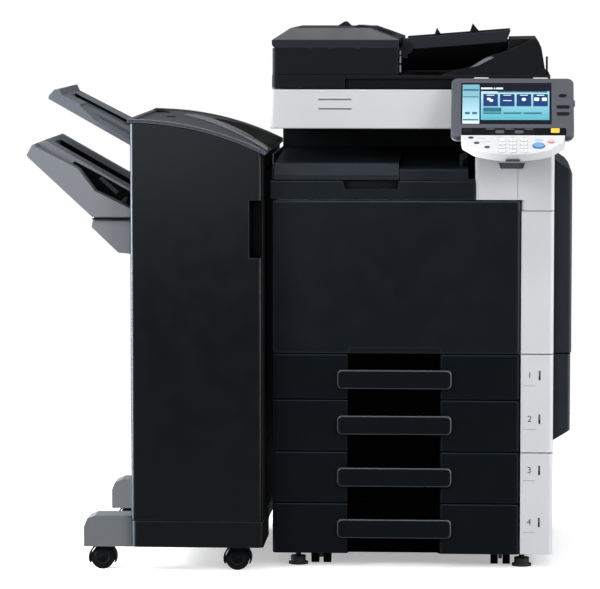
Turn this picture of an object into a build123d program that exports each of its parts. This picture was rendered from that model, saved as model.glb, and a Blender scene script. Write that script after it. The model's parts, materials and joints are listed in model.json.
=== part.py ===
from build123d import *

import os
from math import cos, radians, sin, tan

# A floor-standing office photocopier: a four-drawer body with an output space inside it, a flatbed
# scanner, a document feeder, a tilting operation panel, and a stapling finisher docked on its left.
#
# Frame: +X to the right, +Y to the rear, +Z up, in millimetres. The origin is on the floor, under the
# centre of the bounding box. The front of the machine faces -Y.

# ------------------------------------------------------------------ driving sizes
HALF_WIDTH = 581.5  # exit tray tip on the left, brightness dial on the right
BODY_DEPTH = 650.0
KEYPAD_REACH = 224.0  # how far the keypad's lip stands in front of the door
HALF_DEPTH = (BODY_DEPTH + KEYPAD_REACH) / 2
FACE_Y = KEYPAD_REACH - HALF_DEPTH  # plane of the front door and the drawer fronts
REAR_Y = HALF_DEPTH
BODY_LEFT = -58.0
BODY_RIGHT = 541.0
FRONT_RIGHT = 470.0  # right edge of the door and the drawers
STRIP_LEFT = 472.0  # left edge of the white strip beside them
SKIN = 3.0  # cover wall
FRONT_DEPTH = 26.0  # depth of the door and the drawer fronts
SKIRT_Z = 31.0  # lowest edge of the body
PAN_Z = 62.0  # underside of the base pan
DRAWER_Z = [(364.0, 459.5), (252.0, 361.5), (141.0, 249.5), (SKIRT_Z, 138.5)]  # drawers 1 to 4
DOOR_Z = (462.0, 788.0)
SHELF_Z = 461.0
DECK_Z = 822.0  # top of the engine frame
WING_Z = 886.0  # top of the left wall beside the output space
TOWER_Y = FACE_Y + 390  # front of the tower that carries the scanner
SCANNER_Z = (941.0, 1024.0)
SCANNER_FRONT = FACE_Y - 8
LID_Z = (1027.0, 1054.0)
FEEDER_Z = 1111.0  # top of the feeder body
FEEDER_LEFT, FEEDER_RIGHT = -59.0, 212.0
LID_RIGHT = 531.0
LID_Y = (FACE_Y + 5, FACE_Y + 560)
COLUMN_LEFT = 373.0  # white column under the operation panel
CHANNEL = (102.0, 305.0)  # recess across the drawer fronts
HANDLE = (81.0, 325.0)
PIN_CLEARANCE = 0.06  # radial clearance of a hinge pin or an axle in its bore

# finisher
FIN_LEFT, FIN_RIGHT = -355.0, -75.0
FIN_FRONT, FIN_REAR = FACE_Y - 90, FACE_Y + 550
FIN_TOP_Z = 964.0  # crown of its arched top, at the left edge
FIN_TOP_R = 650.0
FIN_DOOR_Z = 113.0
PLINTH_Z = (55.0, 110.5)
CASTER_X = (-419.0, -130.0)
CASTER_Y = (FACE_Y - 30, FACE_Y + 530)
TWIN_R = 25.0  # finisher caster wheel
WHEEL_R = 24.0  # body caster wheel
TRAIL = 8.0  # caster trail

# operation panel
KEY_SLOPE = 24.0  # keypad slope above horizontal
KEYPAD_X = 452.0
KEYPAD_LENGTH = 85.0
KEYPAD_THICK = 18.0
KEYPAD_EDGE = 3.0  # rounding of its upper edge
KEYPAD_REAR_Z = 934.0
PANEL_LEAN = 41.0  # display's lean back from upright
PANEL_SIZE = (256.0, 156.0, 22.0)
PANEL_CENTRE = (451.0, FACE_Y - 90, 991.0)
PANEL_AXIS = (FACE_Y - 104, 925.0)  # Y and Z of its tilt axis
KEY_TRAVEL = 1.2

made = []  # every finished node


def finish(builder, name):
    """Labels a finished piece and keeps it for export."""
    builder.part.label = name
    made.append(builder.part)


def block(x0, x1, y0, y1, z0, z1, mode=Mode.ADD):
    """A box between two corners, in the part being built."""
    with Locations(((x0 + x1) / 2, (y0 + y1) / 2, (z0 + z1) / 2)):
        Box(x1 - x0, y1 - y0, z1 - z0, mode=mode)


def slab(x0, x1, y0, y1, z0, z1, radius, mode=Mode.ADD):
    """A box with rounded vertical edges."""
    with BuildSketch(Plane.XY.offset(z0)) as sketch:
        with Locations(((x0 + x1) / 2, (y0 + y1) / 2)):
            RectangleRounded(x1 - x0, y1 - y0, radius)
    extrude(sketch.sketch, amount=z1 - z0, mode=mode)


def rod_x(x0, x1, y, z, r, mode=Mode.ADD):
    """A cylinder along X."""
    with Locations(((x0 + x1) / 2, y, z)):
        Cylinder(r, x1 - x0, rotation=(0, 90, 0), mode=mode)


def rod_y(x, y0, y1, z, r, mode=Mode.ADD):
    """A cylinder along Y."""
    with Locations((x, (y0 + y1) / 2, z)):
        Cylinder(r, y1 - y0, rotation=(90, 0, 0), mode=mode)


def rod_z(x, y, z0, z1, r, mode=Mode.ADD):
    """A cylinder along Z."""
    with Locations((x, y, (z0 + z1) / 2)):
        Cylinder(r, z1 - z0, mode=mode)


def profile_y(points, y0, y1, mode=Mode.ADD):
    """Extrudes a closed X-Z outline from y0 to y1."""
    with BuildSketch(Plane.XZ.offset(-y0)) as sketch:
        with BuildLine():
            Polyline(points, close=True)
        make_face()
    extrude(sketch.sketch, amount=-(y1 - y0), mode=mode)


def profile_x(points, x0, x1, mode=Mode.ADD):
    """Extrudes a closed Y-Z outline from x0 to x1."""
    with BuildSketch(Plane.YZ.offset(x0)) as sketch:
        with BuildLine():
            Polyline(points, close=True)
        make_face()
    extrude(sketch.sketch, amount=x1 - x0, mode=mode)


# ------------------------------------------------------------------ body: frame
DOOR_AXIS = (FACE_Y + 8, DOOR_Z[0] + 8)  # Y and Z of the front door's hinge line
BIN_X = (-36.0, 452.0)
BIN_Y = (FACE_Y + FRONT_DEPTH + 0.5, FACE_Y + 430)
BIN_Z = [(368.0, 450.0), (257.0, 352.0), (146.0, 240.0), (74.0, 130.0)]
FRAME_Y = (FACE_Y + 30, REAR_Y - 22)
PLATE = 3.0
TONER_X = [50.0, 160.0, 270.0, 380.0]
TONER_Z, TONER_R = 742.0, 38.0
DRUM_Z = (560.0, 632.0)

with BuildPart() as main_frame:
    block(-50, 531, *FRAME_Y, PAN_Z, PAN_Z + 6)
    for x in (-50, 462, 528):
        top = SHELF_Z if x == 462 else DECK_Z
        block(x, x + PLATE, *FRAME_Y, PAN_Z, top)
    block(-50, 531, FRAME_Y[1] - PLATE, FRAME_Y[1], PAN_Z, DECK_Z)
    block(-50, 531, *FRAME_Y, SHELF_Z - PLATE, SHELF_Z)
    block(-50, 531, *FRAME_Y, DECK_Z - PLATE, DECK_Z)
    block(-50, 531, FRAME_Y[0], FRAME_Y[0] + PLATE, SHELF_Z, DECK_Z)  # inner front plate
    for x in TONER_X:
        rod_y(x, FRAME_Y[0] - 1, FRAME_Y[0] + PLATE + 1, TONER_Z, TONER_R + 2, mode=Mode.SUBTRACT)
        block(x - 44, x + 44, FRAME_Y[0] - 1, FRAME_Y[0] + PLATE + 1,
              DRUM_Z[0] - 4, DRUM_Z[1] + 4, mode=Mode.SUBTRACT)
    for z0, z1 in BIN_Z:  # drawer rails
        block(-47, BIN_X[0] + 8, BIN_Y[0], BIN_Y[1] - 10, z0 - 3.5, z0 - 0.5)
        block(BIN_X[1] - 8, 462, BIN_Y[0], BIN_Y[1] - 10, z0 - 3.5, z0 - 0.5)
    for x0, x1, pin0, pin1 in ((-52, -46, -56, -46), (458, 464, 458, 468)):  # door hinge arms
        block(x0, x1, DOOR_AXIS[0], FRAME_Y[0] + 1, DOOR_AXIS[1] - 4, DOOR_AXIS[1] + 4)
        rod_x(x0, x1, *DOOR_AXIS, 4)
        rod_x(pin0, pin1, *DOOR_AXIS, 2.5)
finish(main_frame, "main_frame")

# ------------------------------------------------------------------ body: covers
with BuildPart() as left_cover:
    side = [(FACE_Y + 28, SKIRT_Z), (REAR_Y - 4, SKIRT_Z), (REAR_Y - 4, SCANNER_Z[0] - 1),
            (TOWER_Y, SCANNER_Z[0] - 1), (TOWER_Y, WING_Z), (FACE_Y + 14, WING_Z),
            (FACE_Y + 4, WING_Z - 20), (FACE_Y + 4, 831), (FACE_Y + 28, 831)]
    profile_x(side, BODY_LEFT, BODY_LEFT + SKIN)
    block(BODY_LEFT - 1, BODY_LEFT + 5, FACE_Y + 40, FACE_Y + 350, 846, 864, mode=Mode.SUBTRACT)
finish(left_cover, "left_cover")

with BuildPart() as rear_cover:
    block(BODY_LEFT, BODY_RIGHT, REAR_Y - 4, REAR_Y, SKIRT_Z, SCANNER_Z[0] - 1)
    fillet(rear_cover.edges().filter_by(Axis.Z).group_by(Axis.Y)[-1], 3)
    for row in range(9):  # exhaust louvres
        block(60, 260, REAR_Y - 5, REAR_Y + 1, 620 + 16 * row, 626 + 16 * row, mode=Mode.SUBTRACT)
    with Locations(Plane(origin=(430, REAR_Y, 120), z_dir=(0, 1, 0))):  # power inlet
        with BuildSketch() as inlet:
            RectangleRounded(30, 24, 4)
    extrude(inlet.sketch, amount=-4, mode=Mode.SUBTRACT)
finish(rear_cover, "rear_cover")

RIGHT_DOOR_Z = (464.0, 876.0)
RIGHT_DOOR_Y = (FACE_Y + 18, FACE_Y + 524)
RIGHT_DOOR_X = (541.5, 579.0)
RIGHT_AXIS = (549.5, RIGHT_DOOR_Y[1] - 8)

with BuildPart() as right_cover:
    block(BODY_RIGHT - 4, BODY_RIGHT, FACE_Y + 28, REAR_Y - 4.5, SKIRT_Z, SCANNER_Z[0] - 1)
    block(BODY_RIGHT - 5, BODY_RIGHT + 1, FACE_Y + 85, FACE_Y + 455, 500, 840, mode=Mode.SUBTRACT)
    block(BODY_RIGHT - 5, BODY_RIGHT + 1, FACE_Y + 27, FACE_Y + 62.5, 767.5, SCANNER_Z[0],
          mode=Mode.SUBTRACT)
    lower = [(BODY_RIGHT, 276), (RIGHT_DOOR_X[1] - 2, 298), (RIGHT_DOOR_X[1] - 2, 461),
             (BODY_RIGHT, 461)]
    profile_y(lower, *RIGHT_DOOR_Y)
    fillet(right_cover.edges().filter_by(Axis.Z).group_by(Axis.X)[-1], 8)
    block(560, RIGHT_DOOR_X[1], FACE_Y + 125, FACE_Y + 335, 318, 432, mode=Mode.SUBTRACT)  # finger recess
    rod_z(*RIGHT_AXIS, 461, 474, 4)
    block(BODY_RIGHT, 557, RIGHT_AXIS[1] - 8, RIGHT_AXIS[1] + 8, 878, 882)
    rod_z(*RIGHT_AXIS, 862, 878, 4)
finish(right_cover, "right_cover")

# white strips beside the door and the drawers, each an L-shaped cover
STRIP_Z = [(463.0, 766.5), (251.5, 461.0), (SKIRT_Z + 1, 249.5)]
GAUGE_X = 512.0
GAUGE_Z = [416.5, 323.0, 213.0, 101.0]  # paper level windows
with BuildPart() as front_strips:
    for z0, z1 in STRIP_Z:
        block(STRIP_LEFT, BODY_RIGHT, FACE_Y, FACE_Y + 27, z0, z1)
    fillet(front_strips.edges().filter_by(Axis.Z).group_by(Axis.Y)[0].sort_by(Axis.X)[3:], 9)
    for z0, z1 in STRIP_Z:
        block(STRIP_LEFT - 1, BODY_RIGHT - SKIN, FACE_Y + SKIN, FACE_Y + 28, z0 - 1, z1 + 1,
              mode=Mode.SUBTRACT)
    for z in GAUGE_Z:
        block(GAUGE_X - 2, GAUGE_X + 2, FACE_Y - 1, FACE_Y + 4, z - 10, z + 10, mode=Mode.SUBTRACT)
finish(front_strips, "front_strips")

with BuildPart() as inner_front_cover:
    block(-61, COLUMN_LEFT - 1, FACE_Y - 1, FACE_Y + 27, 790.5, 830)
    fillet(inner_front_cover.edges().filter_by(Axis.X).group_by(Axis.Y)[0], 2.5)
    block(-58, COLUMN_LEFT - 4, FACE_Y + 3, FACE_Y + 28, 789, 827, mode=Mode.SUBTRACT)
    block(89, 215, FACE_Y + 2, FACE_Y + 17, 809, 828)
    notch = [(92, 831), (96, 812), (208, 812), (212, 831)]
    profile_y(notch, FACE_Y - 2, FACE_Y + 14, mode=Mode.SUBTRACT)
finish(inner_front_cover, "inner_front_cover")

# ------------------------------------------------------------------ body: output space
with BuildPart() as relay_unit:
    outline = [(FACE_Y + 1, 832), (FACE_Y + 1, 843), (FACE_Y + 9, 866), (FACE_Y + 14, 868),
               (TOWER_Y - 2, 884), (TOWER_Y - 2, 832)]
    profile_x(outline, -54, 211)
    block(-55, 180, FACE_Y + 44, FACE_Y + 346, 850, 858, mode=Mode.SUBTRACT)  # paper path
finish(relay_unit, "relay_unit")

with BuildPart() as output_tray:
    hump = [(FACE_Y + 3, 832), (FACE_Y + 3, 853), (FACE_Y + 10, 856), (TOWER_Y - 2, 884),
            (TOWER_Y - 2, 876), (FACE_Y + 20, 850), (FACE_Y + 20, 832)]
    profile_x(hump, 213, 358)
    block(213, 371, FACE_Y + 3, TOWER_Y - 2, 831, 834)
    block(340, 346, FACE_Y + 60, FACE_Y + 90, 848, 884)  # paper guide lever
    rod_y(349, FACE_Y + 60, FACE_Y + 90, 880, 7)
finish(output_tray, "output_tray")

with BuildPart() as scanner_stand:
    block(-54, 536, TOWER_Y, REAR_Y - 5, DECK_Z + 1, SCANNER_Z[0] - 1)
    block(COLUMN_LEFT + 3, 536, FACE_Y + 64, TOWER_Y, DECK_Z + 1, SCANNER_Z[0] - 1)
    block(-50, 532, TOWER_Y + 4, REAR_Y - 9, DECK_Z, SCANNER_Z[0] - 5, mode=Mode.SUBTRACT)
    block(COLUMN_LEFT + 7, 532, FACE_Y + 68, TOWER_Y + 5, DECK_Z, SCANNER_Z[0] - 5,
          mode=Mode.SUBTRACT)
finish(scanner_stand, "scanner_stand")

with BuildPart() as front_column:
    block(COLUMN_LEFT, BODY_RIGHT, FACE_Y, FACE_Y + 62, 790.5, SCANNER_Z[0] - 1)
    block(STRIP_LEFT, BODY_RIGHT, FACE_Y, FACE_Y + 27, 768, 792)
    fillet(front_column.edges().filter_by(Axis.Z).group_by(Axis.Y)[0], 9)
    block(COLUMN_LEFT + SKIN, BODY_RIGHT - SKIN, FACE_Y + SKIN, FACE_Y + 63, 792, 936,
          mode=Mode.SUBTRACT)
    block(STRIP_LEFT + SKIN, BODY_RIGHT - SKIN, FACE_Y + SKIN, FACE_Y + 28, 767, 793,
          mode=Mode.SUBTRACT)
    block(COLUMN_LEFT - 1, BODY_RIGHT - 4, FACE_Y + 28, FACE_Y + 63, 767, DECK_Z + 1,
          mode=Mode.SUBTRACT)  # room for the frame
    grip = [(423, 869), (427, 857), (474, 857), (478, 869)]
    profile_y(grip, FACE_Y - 1, FACE_Y + 8, mode=Mode.SUBTRACT)
    block(463, 464, FACE_Y - 1, FACE_Y + 1, 790, 857, mode=Mode.SUBTRACT)  # seam below the grip
finish(front_column, "front_column")

# ------------------------------------------------------------------ body: engine
with BuildPart() as toner_bottles:
    for x in TONER_X:
        rod_y(x, FRAME_Y[0] - 12, FRAME_Y[0] + 330, TONER_Z, TONER_R)
    fillet(toner_bottles.edges().filter_by(GeomType.CIRCLE), 5)
    for x in TONER_X:
        block(x - 26, x + 26, FRAME_Y[0] - 22, FRAME_Y[0] - 11, TONER_Z - 6, TONER_Z + 6)
finish(toner_bottles, "toner_bottles")

with BuildPart() as imaging_unit:
    for x in TONER_X:
        block(x - 40, x + 40, FRAME_Y[0] - 4, FRAME_Y[0] + 340, *DRUM_Z)
        rod_y(x, FRAME_Y[0] + 5, FRAME_Y[0] + 330, DRUM_Z[1], 15)  # photoconductor drum
    belt_ends = (TONER_X[0] - 20, TONER_X[-1] + 20)
    block(*belt_ends, FRAME_Y[0] + 5, FRAME_Y[0] + 335, 662, 700)  # transfer belt
    for x in belt_ends:
        rod_y(x, FRAME_Y[0] + 5, FRAME_Y[0] + 335, 681, 19)
finish(imaging_unit, "imaging_unit")

with BuildPart() as fuser_unit:
    block(462, 522, FACE_Y + 75, FACE_Y + 435, 690, 806)
    fillet(fuser_unit.edges().filter_by(Axis.Y), 8)
    block(470, 530, FACE_Y + 85, FACE_Y + 425, 720, 776, mode=Mode.SUBTRACT)
    rod_y(484, FACE_Y + 83, FACE_Y + 427, 748, 13)  # heat roller
    rod_y(511, FACE_Y + 83, FACE_Y + 427, 748, 13)  # pressure roller
finish(fuser_unit, "fuser_unit")

# ------------------------------------------------------------------ body: feet and casters
FOOT_XY = [(-5, FACE_Y + 52), (476, FACE_Y + 52), (-5, FACE_Y + 590), (476, FACE_Y + 590)]
BODY_CASTER_X = (44.0, 430.0)
BODY_CASTER_Y = (FACE_Y + 72, FACE_Y + 580)

with BuildPart() as levelling_feet:
    for x, y in FOOT_XY:
        rod_z(x, y, 0, 5, 21)
        rod_z(x, y, 5, 18, 16)
        rod_z(x, y, 18, PAN_Z, 6)
finish(levelling_feet, "levelling_feet")

with BuildPart() as body_caster_forks:
    for x in BODY_CASTER_X:
        for y in BODY_CASTER_Y:
            rod_z(x, y, 51, PAN_Z, 20)
            block(x - 4, x + 4, y - 18, y + 18, 14, 52)
            rod_x(x - 5, x + 5, y, WHEEL_R, 3.5 + PIN_CLEARANCE, mode=Mode.SUBTRACT)
finish(body_caster_forks, "body_caster_forks")


def twin_wheels_x(x, y):
    """Two wheels and their axle, along X."""
    rod_x(x - 20, x + 20, y, WHEEL_R, 3.5)
    for side_of in (-1, 1):
        near, far = sorted((x + side_of * 5, x + side_of * 21))
        rod_x(near, far, y, WHEEL_R, WHEEL_R)


with BuildPart() as body_front_wheels:
    for x in BODY_CASTER_X:
        twin_wheels_x(x, BODY_CASTER_Y[0])
finish(body_front_wheels, "body_front_wheels")

with BuildPart() as body_rear_wheels:
    for x in BODY_CASTER_X:
        twin_wheels_x(x, BODY_CASTER_Y[1])
finish(body_rear_wheels, "body_rear_wheels")

# ------------------------------------------------------------------ front door
with BuildPart() as front_door:
    block(BODY_LEFT, FRONT_RIGHT, FACE_Y, FACE_Y + FRONT_DEPTH, *DOOR_Z)
    fillet(front_door.edges().filter_by(Axis.Z).group_by(Axis.Y)[0], 8)
    fillet(front_door.faces().sort_by(Axis.Y)[0].edges().filter_by(Axis.X), 3.5)
    block(BODY_LEFT + 4, FRONT_RIGHT - 4, FACE_Y + 4, FACE_Y + FRONT_DEPTH + 1,
          DOOR_Z[0] + SKIN, DOOR_Z[1] - SKIN, mode=Mode.SUBTRACT)
    for x0, x1 in ((-54, -44), (456, 466)):  # slots for the hinge arms
        block(x0, x1, FACE_Y + 4, FACE_Y + FRONT_DEPTH + 1, DOOR_Z[0] - 1, DOOR_Z[0] + 9,
              mode=Mode.SUBTRACT)
    rod_x(-56.4, 468.4, *DOOR_AXIS, 2.5 + PIN_CLEARANCE, mode=Mode.SUBTRACT)
    for x in (BODY_LEFT, FRONT_RIGHT):  # finger grips in both edges
        block(x - 4, x + 4, FACE_Y + 9, FACE_Y + FRONT_DEPTH + 1, 708, 766, mode=Mode.SUBTRACT)
    foot_notch = [(CHANNEL[0], 461), (CHANNEL[0] + 5, 474), (CHANNEL[1] - 5, 474), (CHANNEL[1], 461)]
    profile_y(foot_notch, FACE_Y - 1, FACE_Y + 1.5, mode=Mode.SUBTRACT)
finish(front_door, "front_door")

# ------------------------------------------------------------------ drawers
HANDLE_DROP, HANDLE_HEIGHT = 32.0, 41.0
for number, ((z0, z1), (b0, b1)) in enumerate(zip(DRAWER_Z, BIN_Z), start=1):
    with BuildPart() as drawer_front:
        block(BODY_LEFT, FRONT_RIGHT, FACE_Y, FACE_Y + FRONT_DEPTH, z0, z1)
        fillet(drawer_front.edges().filter_by(Axis.Z).group_by(Axis.Y)[0], 8)
        fillet(drawer_front.faces().sort_by(Axis.Y)[0].edges().filter_by(Axis.X), 2.5)
        channel = [(CHANNEL[0], FACE_Y - 1), (CHANNEL[0] + 3, FACE_Y + 19),
                   (CHANNEL[1] - 12, FACE_Y + 19), (CHANNEL[1], FACE_Y - 1)]
        with BuildSketch(Plane.XY.offset(z0 - 1)) as cut:
            with BuildLine():
                Polyline(channel, close=True)
            make_face()
        extrude(cut.sketch, amount=z1 - z0 + 2, mode=Mode.SUBTRACT)
        for x0, x1 in ((BODY_LEFT + 4, CHANNEL[0] - 3), (CHANNEL[1] + 3, FRONT_RIGHT - 4)):
            block(x0, x1, FACE_Y + 4, FACE_Y + FRONT_DEPTH + 1, z0 + 3, z1 - 3, mode=Mode.SUBTRACT)
        top = z1 - HANDLE_DROP
        with BuildSketch(Plane.XZ.offset(-(FACE_Y - 13))) as bar:
            with Locations(((HANDLE[0] + HANDLE[1]) / 2, top - HANDLE_HEIGHT / 2)):
                RectangleRounded(HANDLE[1] - HANDLE[0], HANDLE_HEIGHT, 11)
        extrude(bar.sketch, amount=-13)
        fillet(drawer_front.faces().sort_by(Axis.Y)[0].edges(), 4)
    finish(drawer_front, f"drawer_{number}_front")

    with BuildPart() as drawer_bin:
        block(*BIN_X, *BIN_Y, b0, b1)
        block(BIN_X[0] + 2.5, BIN_X[1] - 2.5, BIN_Y[0] + 2.5, BIN_Y[1] - 2.5, b0 + 2.5, b1 + 1,
              mode=Mode.SUBTRACT)
    finish(drawer_bin, f"drawer_{number}_bin")

# ------------------------------------------------------------------ right door and bypass tray
BYPASS_Y, BYPASS_Z = (FACE_Y + 100, FACE_Y + 435), (566.0, 800.0)
BYPASS_AXIS = (RIGHT_DOOR_X[1] - 6, BYPASS_Z[0] + 6)  # X and Z of its hinge line
with BuildPart() as right_door:
    outline = [(RIGHT_DOOR_X[0], RIGHT_DOOR_Z[0]), (RIGHT_DOOR_X[1], RIGHT_DOOR_Z[0]),
               (RIGHT_DOOR_X[1], 846), (RIGHT_DOOR_X[1] - 8, 856), (RIGHT_DOOR_X[0], RIGHT_DOOR_Z[1])]
    profile_y(outline, *RIGHT_DOOR_Y)
    fillet(right_door.edges().filter_by(Axis.Z).group_by(Axis.X)[0].sort_by(Axis.Y)[-1], 7.5)
    fillet(right_door.edges().filter_by(Axis.Z).group_by(Axis.X)[-1], 8)
    inner = [(RIGHT_DOOR_X[0] - 1, RIGHT_DOOR_Z[0] + 5), (RIGHT_DOOR_X[1] - 18, RIGHT_DOOR_Z[0] + 5),
             (RIGHT_DOOR_X[1] - 18, 850), (RIGHT_DOOR_X[0] - 1, 864)]
    profile_y(inner, RIGHT_DOOR_Y[0] + 4, RIGHT_DOOR_Y[1] - 18, mode=Mode.SUBTRACT)
    block(RIGHT_DOOR_X[1] - 14, RIGHT_DOOR_X[1] + 1, BYPASS_Y[0] - 2, BYPASS_Y[1] + 2,
          BYPASS_Z[0] - 4, BYPASS_Z[1] + 2, mode=Mode.SUBTRACT)
    rod_y(BYPASS_AXIS[0], BYPASS_Y[0] - 6, BYPASS_Y[0] - 1, BYPASS_AXIS[1], 3)
    rod_y(BYPASS_AXIS[0], BYPASS_Y[1] + 1, BYPASS_Y[1] + 6, BYPASS_AXIS[1], 3)
    rod_y(BYPASS_AXIS[0], BYPASS_Y[0] - 3, BYPASS_Y[0] + 4, BYPASS_AXIS[1], 3)
    rod_y(BYPASS_AXIS[0], BYPASS_Y[1] - 4, BYPASS_Y[1] + 3, BYPASS_AXIS[1], 3)
    rod_z(*RIGHT_AXIS, 463, 474.5, 4 + PIN_CLEARANCE, mode=Mode.SUBTRACT)
    rod_z(*RIGHT_AXIS, 861.5, 880, 4 + PIN_CLEARANCE, mode=Mode.SUBTRACT)
finish(right_door, "right_door")

with BuildPart() as bypass_tray:
    block(RIGHT_DOOR_X[1] - 12, RIGHT_DOOR_X[1], *BYPASS_Y, *BYPASS_Z)
    fillet(bypass_tray.edges().filter_by(Axis.Y).group_by(Axis.Z)[0], 5.9)
    block(RIGHT_DOOR_X[1] - 6, RIGHT_DOOR_X[1] + 1, FACE_Y + 215, FACE_Y + 315,
          BYPASS_Z[1] - 16, BYPASS_Z[1] + 1, mode=Mode.SUBTRACT)  # finger recess
    for y in BYPASS_Y:
        rod_y(BYPASS_AXIS[0], y - 4.2, y + 4.2, BYPASS_AXIS[1], 3 + PIN_CLEARANCE, mode=Mode.SUBTRACT)
finish(bypass_tray, "bypass_tray")

# ------------------------------------------------------------------ scanner
GLASS_X, GLASS_Y = (30.0, 470.0), (FACE_Y + 40, FACE_Y + 345)
ADF_AXIS = (LID_Y[1] + 16, 1040.0)  # Y and Z of the lid's hinge line
HINGE_X = (70.0, 420.0)
with BuildPart() as scanner_housing:
    block(-62, BODY_RIGHT, SCANNER_FRONT, REAR_Y - 6, *SCANNER_Z)
    fillet(scanner_housing.edges().filter_by(Axis.Z), 10)
    fillet(scanner_housing.faces().sort_by(Axis.Z)[0].edges(), 3)
    fillet(scanner_housing.faces().sort_by(Axis.Z)[-1].edges(), 2)
    block(-56, BODY_RIGHT - 6, SCANNER_FRONT + 5, REAR_Y - 11, SCANNER_Z[0] + 5, SCANNER_Z[1] - 5,
          mode=Mode.SUBTRACT)
    block(*GLASS_X, *GLASS_Y, 1010, 1030, mode=Mode.SUBTRACT)
    block(0, 20, *GLASS_Y, 1010, 1030, mode=Mode.SUBTRACT)
    for z in (983, 1003):  # status lamp slots
        block(41, 111, SCANNER_FRONT - 1, SCANNER_FRONT + 2, z - 1.5, z + 1.5, mode=Mode.SUBTRACT)
    for y in (GLASS_Y[0] + 30, GLASS_Y[1] - 30):  # carriage rails
        rod_x(-57, BODY_RIGHT - 5, y, 972, 4)
    for x in HINGE_X:  # lid hinge stands
        for x0 in (x - 20, x + 12):
            block(x0, x0 + 8, ADF_AXIS[0] - 9, ADF_AXIS[0] + 9, SCANNER_Z[1] - 1, ADF_AXIS[1])
            rod_x(x0, x0 + 8, *ADF_AXIS, 9)
        rod_x(x - 20, x + 20, *ADF_AXIS, 4)
finish(scanner_housing, "scanner_housing")

with BuildPart() as platen_glass:
    block(GLASS_X[0] + 0.3, GLASS_X[1] - 0.3, GLASS_Y[0] + 0.3, GLASS_Y[1] - 0.3, 1020, 1024)
    block(0.3, 19.7, GLASS_Y[0] + 0.3, GLASS_Y[1] - 0.3, 1020, 1024)
finish(platen_glass, "platen_glass")

with BuildPart() as scan_carriage:
    block(32, 92, GLASS_Y[0] + 2, GLASS_Y[1] - 2, 962, 996)
    block(56, 68, GLASS_Y[0] + 12, GLASS_Y[1] - 12, 984, 997, mode=Mode.SUBTRACT)  # light slot
    for y in (GLASS_Y[0] + 30, GLASS_Y[1] - 30):
        rod_x(31, 93, y, 972, 4 + PIN_CLEARANCE, mode=Mode.SUBTRACT)
finish(scan_carriage, "scan_carriage")

# ------------------------------------------------------------------ document feeder
COVER_AXIS = (FEEDER_LEFT + 9, FEEDER_Z + 10)  # X and Z of the feed cover's hinge line
TRAY_Y = (FACE_Y + 28, FACE_Y + 378)
TRAY_AXIS = (228.0, 1117.0)  # X and Z of the input tray's hinge line
with BuildPart() as adf_lid:
    slab(FEEDER_LEFT, LID_RIGHT, *LID_Y, *LID_Z, 10)
    slab(FEEDER_LEFT + 1, FEEDER_RIGHT, LID_Y[0] + 1, LID_Y[1] - 1, LID_Z[1] - 1, FEEDER_Z, 9)
    block(FEEDER_LEFT + 5, FEEDER_RIGHT - 4, LID_Y[0] + 6, LID_Y[1] - 6, LID_Z[1] + 3, FEEDER_Z + 1,
          mode=Mode.SUBTRACT)
    # right end of the output tray: a low front rim that climbs into a tall end block
    rim = [(300, 1053), (307, 1058), (360, 1071), (397, 1094), (427, 1102), (470, 1119), (493, 1131),
           (505, 1127), (512, 1112), (522, 1053)]
    profile_y(rim, LID_Y[0] + 3, LID_Y[0] + 26)
    back_wall = [(FEEDER_RIGHT - 1, 1053), (FEEDER_RIGHT - 1, 1106), (446, 1124), (446, 1053)]
    profile_y(back_wall, LID_Y[1] - 127, LID_Y[1] - 121)
    block(522, 526, LID_Y[0] + 30, LID_Y[0] + 60, 1053, 1093)  # end post
    ramp = [(300, 1053), (360, 1060), (441, 1100), (444, 1130), (502, 1131), (508, 1122), (520, 1053)]
    profile_y(ramp, LID_Y[0] + 26, LID_Y[1] - 120)
    # underside relief, and the handle recess in the front edge
    block(-44, 516, LID_Y[0] + 15, LID_Y[1] - 15, LID_Z[0] - 1, LID_Z[1] - 6, mode=Mode.SUBTRACT)
    block(96, 330, LID_Y[0] - 1, LID_Y[0] + 9, LID_Z[0] - 1, LID_Z[0] + 20, mode=Mode.SUBTRACT)
    # arms for the input tray's pins
    for y0, y1 in ((TRAY_Y[0] - 7, TRAY_Y[0] - 1), (TRAY_Y[1] + 1, TRAY_Y[1] + 7)):
        block(FEEDER_RIGHT - 1, TRAY_AXIS[0], y0, y1, 1090, FEEDER_Z)
        rod_y(TRAY_AXIS[0], y0, y1, TRAY_AXIS[1] - 6, 12)
    rod_y(TRAY_AXIS[0], TRAY_Y[0] - 7, TRAY_Y[0] + 4, TRAY_AXIS[1], 3)
    rod_y(TRAY_AXIS[0], TRAY_Y[1] - 4, TRAY_Y[1] + 7, TRAY_AXIS[1], 3)
    # ears and pins for the feed cover, inside its end walls
    for wall, inward in ((LID_Y[0], 1), (LID_Y[1], -1)):
        near, far = sorted((wall + 4 * inward, wall + 8 * inward))
        block(COVER_AXIS[0] - 2.5, COVER_AXIS[0] + 4, near, far, FEEDER_Z - 12, COVER_AXIS[1])
        rod_y(COVER_AXIS[0], near, far, COVER_AXIS[1], 4.2)
        rod_y(COVER_AXIS[0], *sorted((wall + 1.2 * inward, wall + 8 * inward)), COVER_AXIS[1], 2.5)
    # hinge knuckles
    for x in HINGE_X:
        block(x - 11, x + 11, LID_Y[1] - 16, ADF_AXIS[0], ADF_AXIS[1] - 6, ADF_AXIS[1] + 8)
        rod_x(x - 11, x + 11, *ADF_AXIS, 8)
        rod_x(x - 12, x + 12, *ADF_AXIS, 4 + PIN_CLEARANCE, mode=Mode.SUBTRACT)
finish(adf_lid, "adf_lid")

COVER_RIGHT = 210.0
GRIP_X = (113.0, 194.0)
BEVEL = (46.0, 24.0)  # depth and height of the sloped band along the cover's front and rear
COVER_TOP = 1153.0


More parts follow.
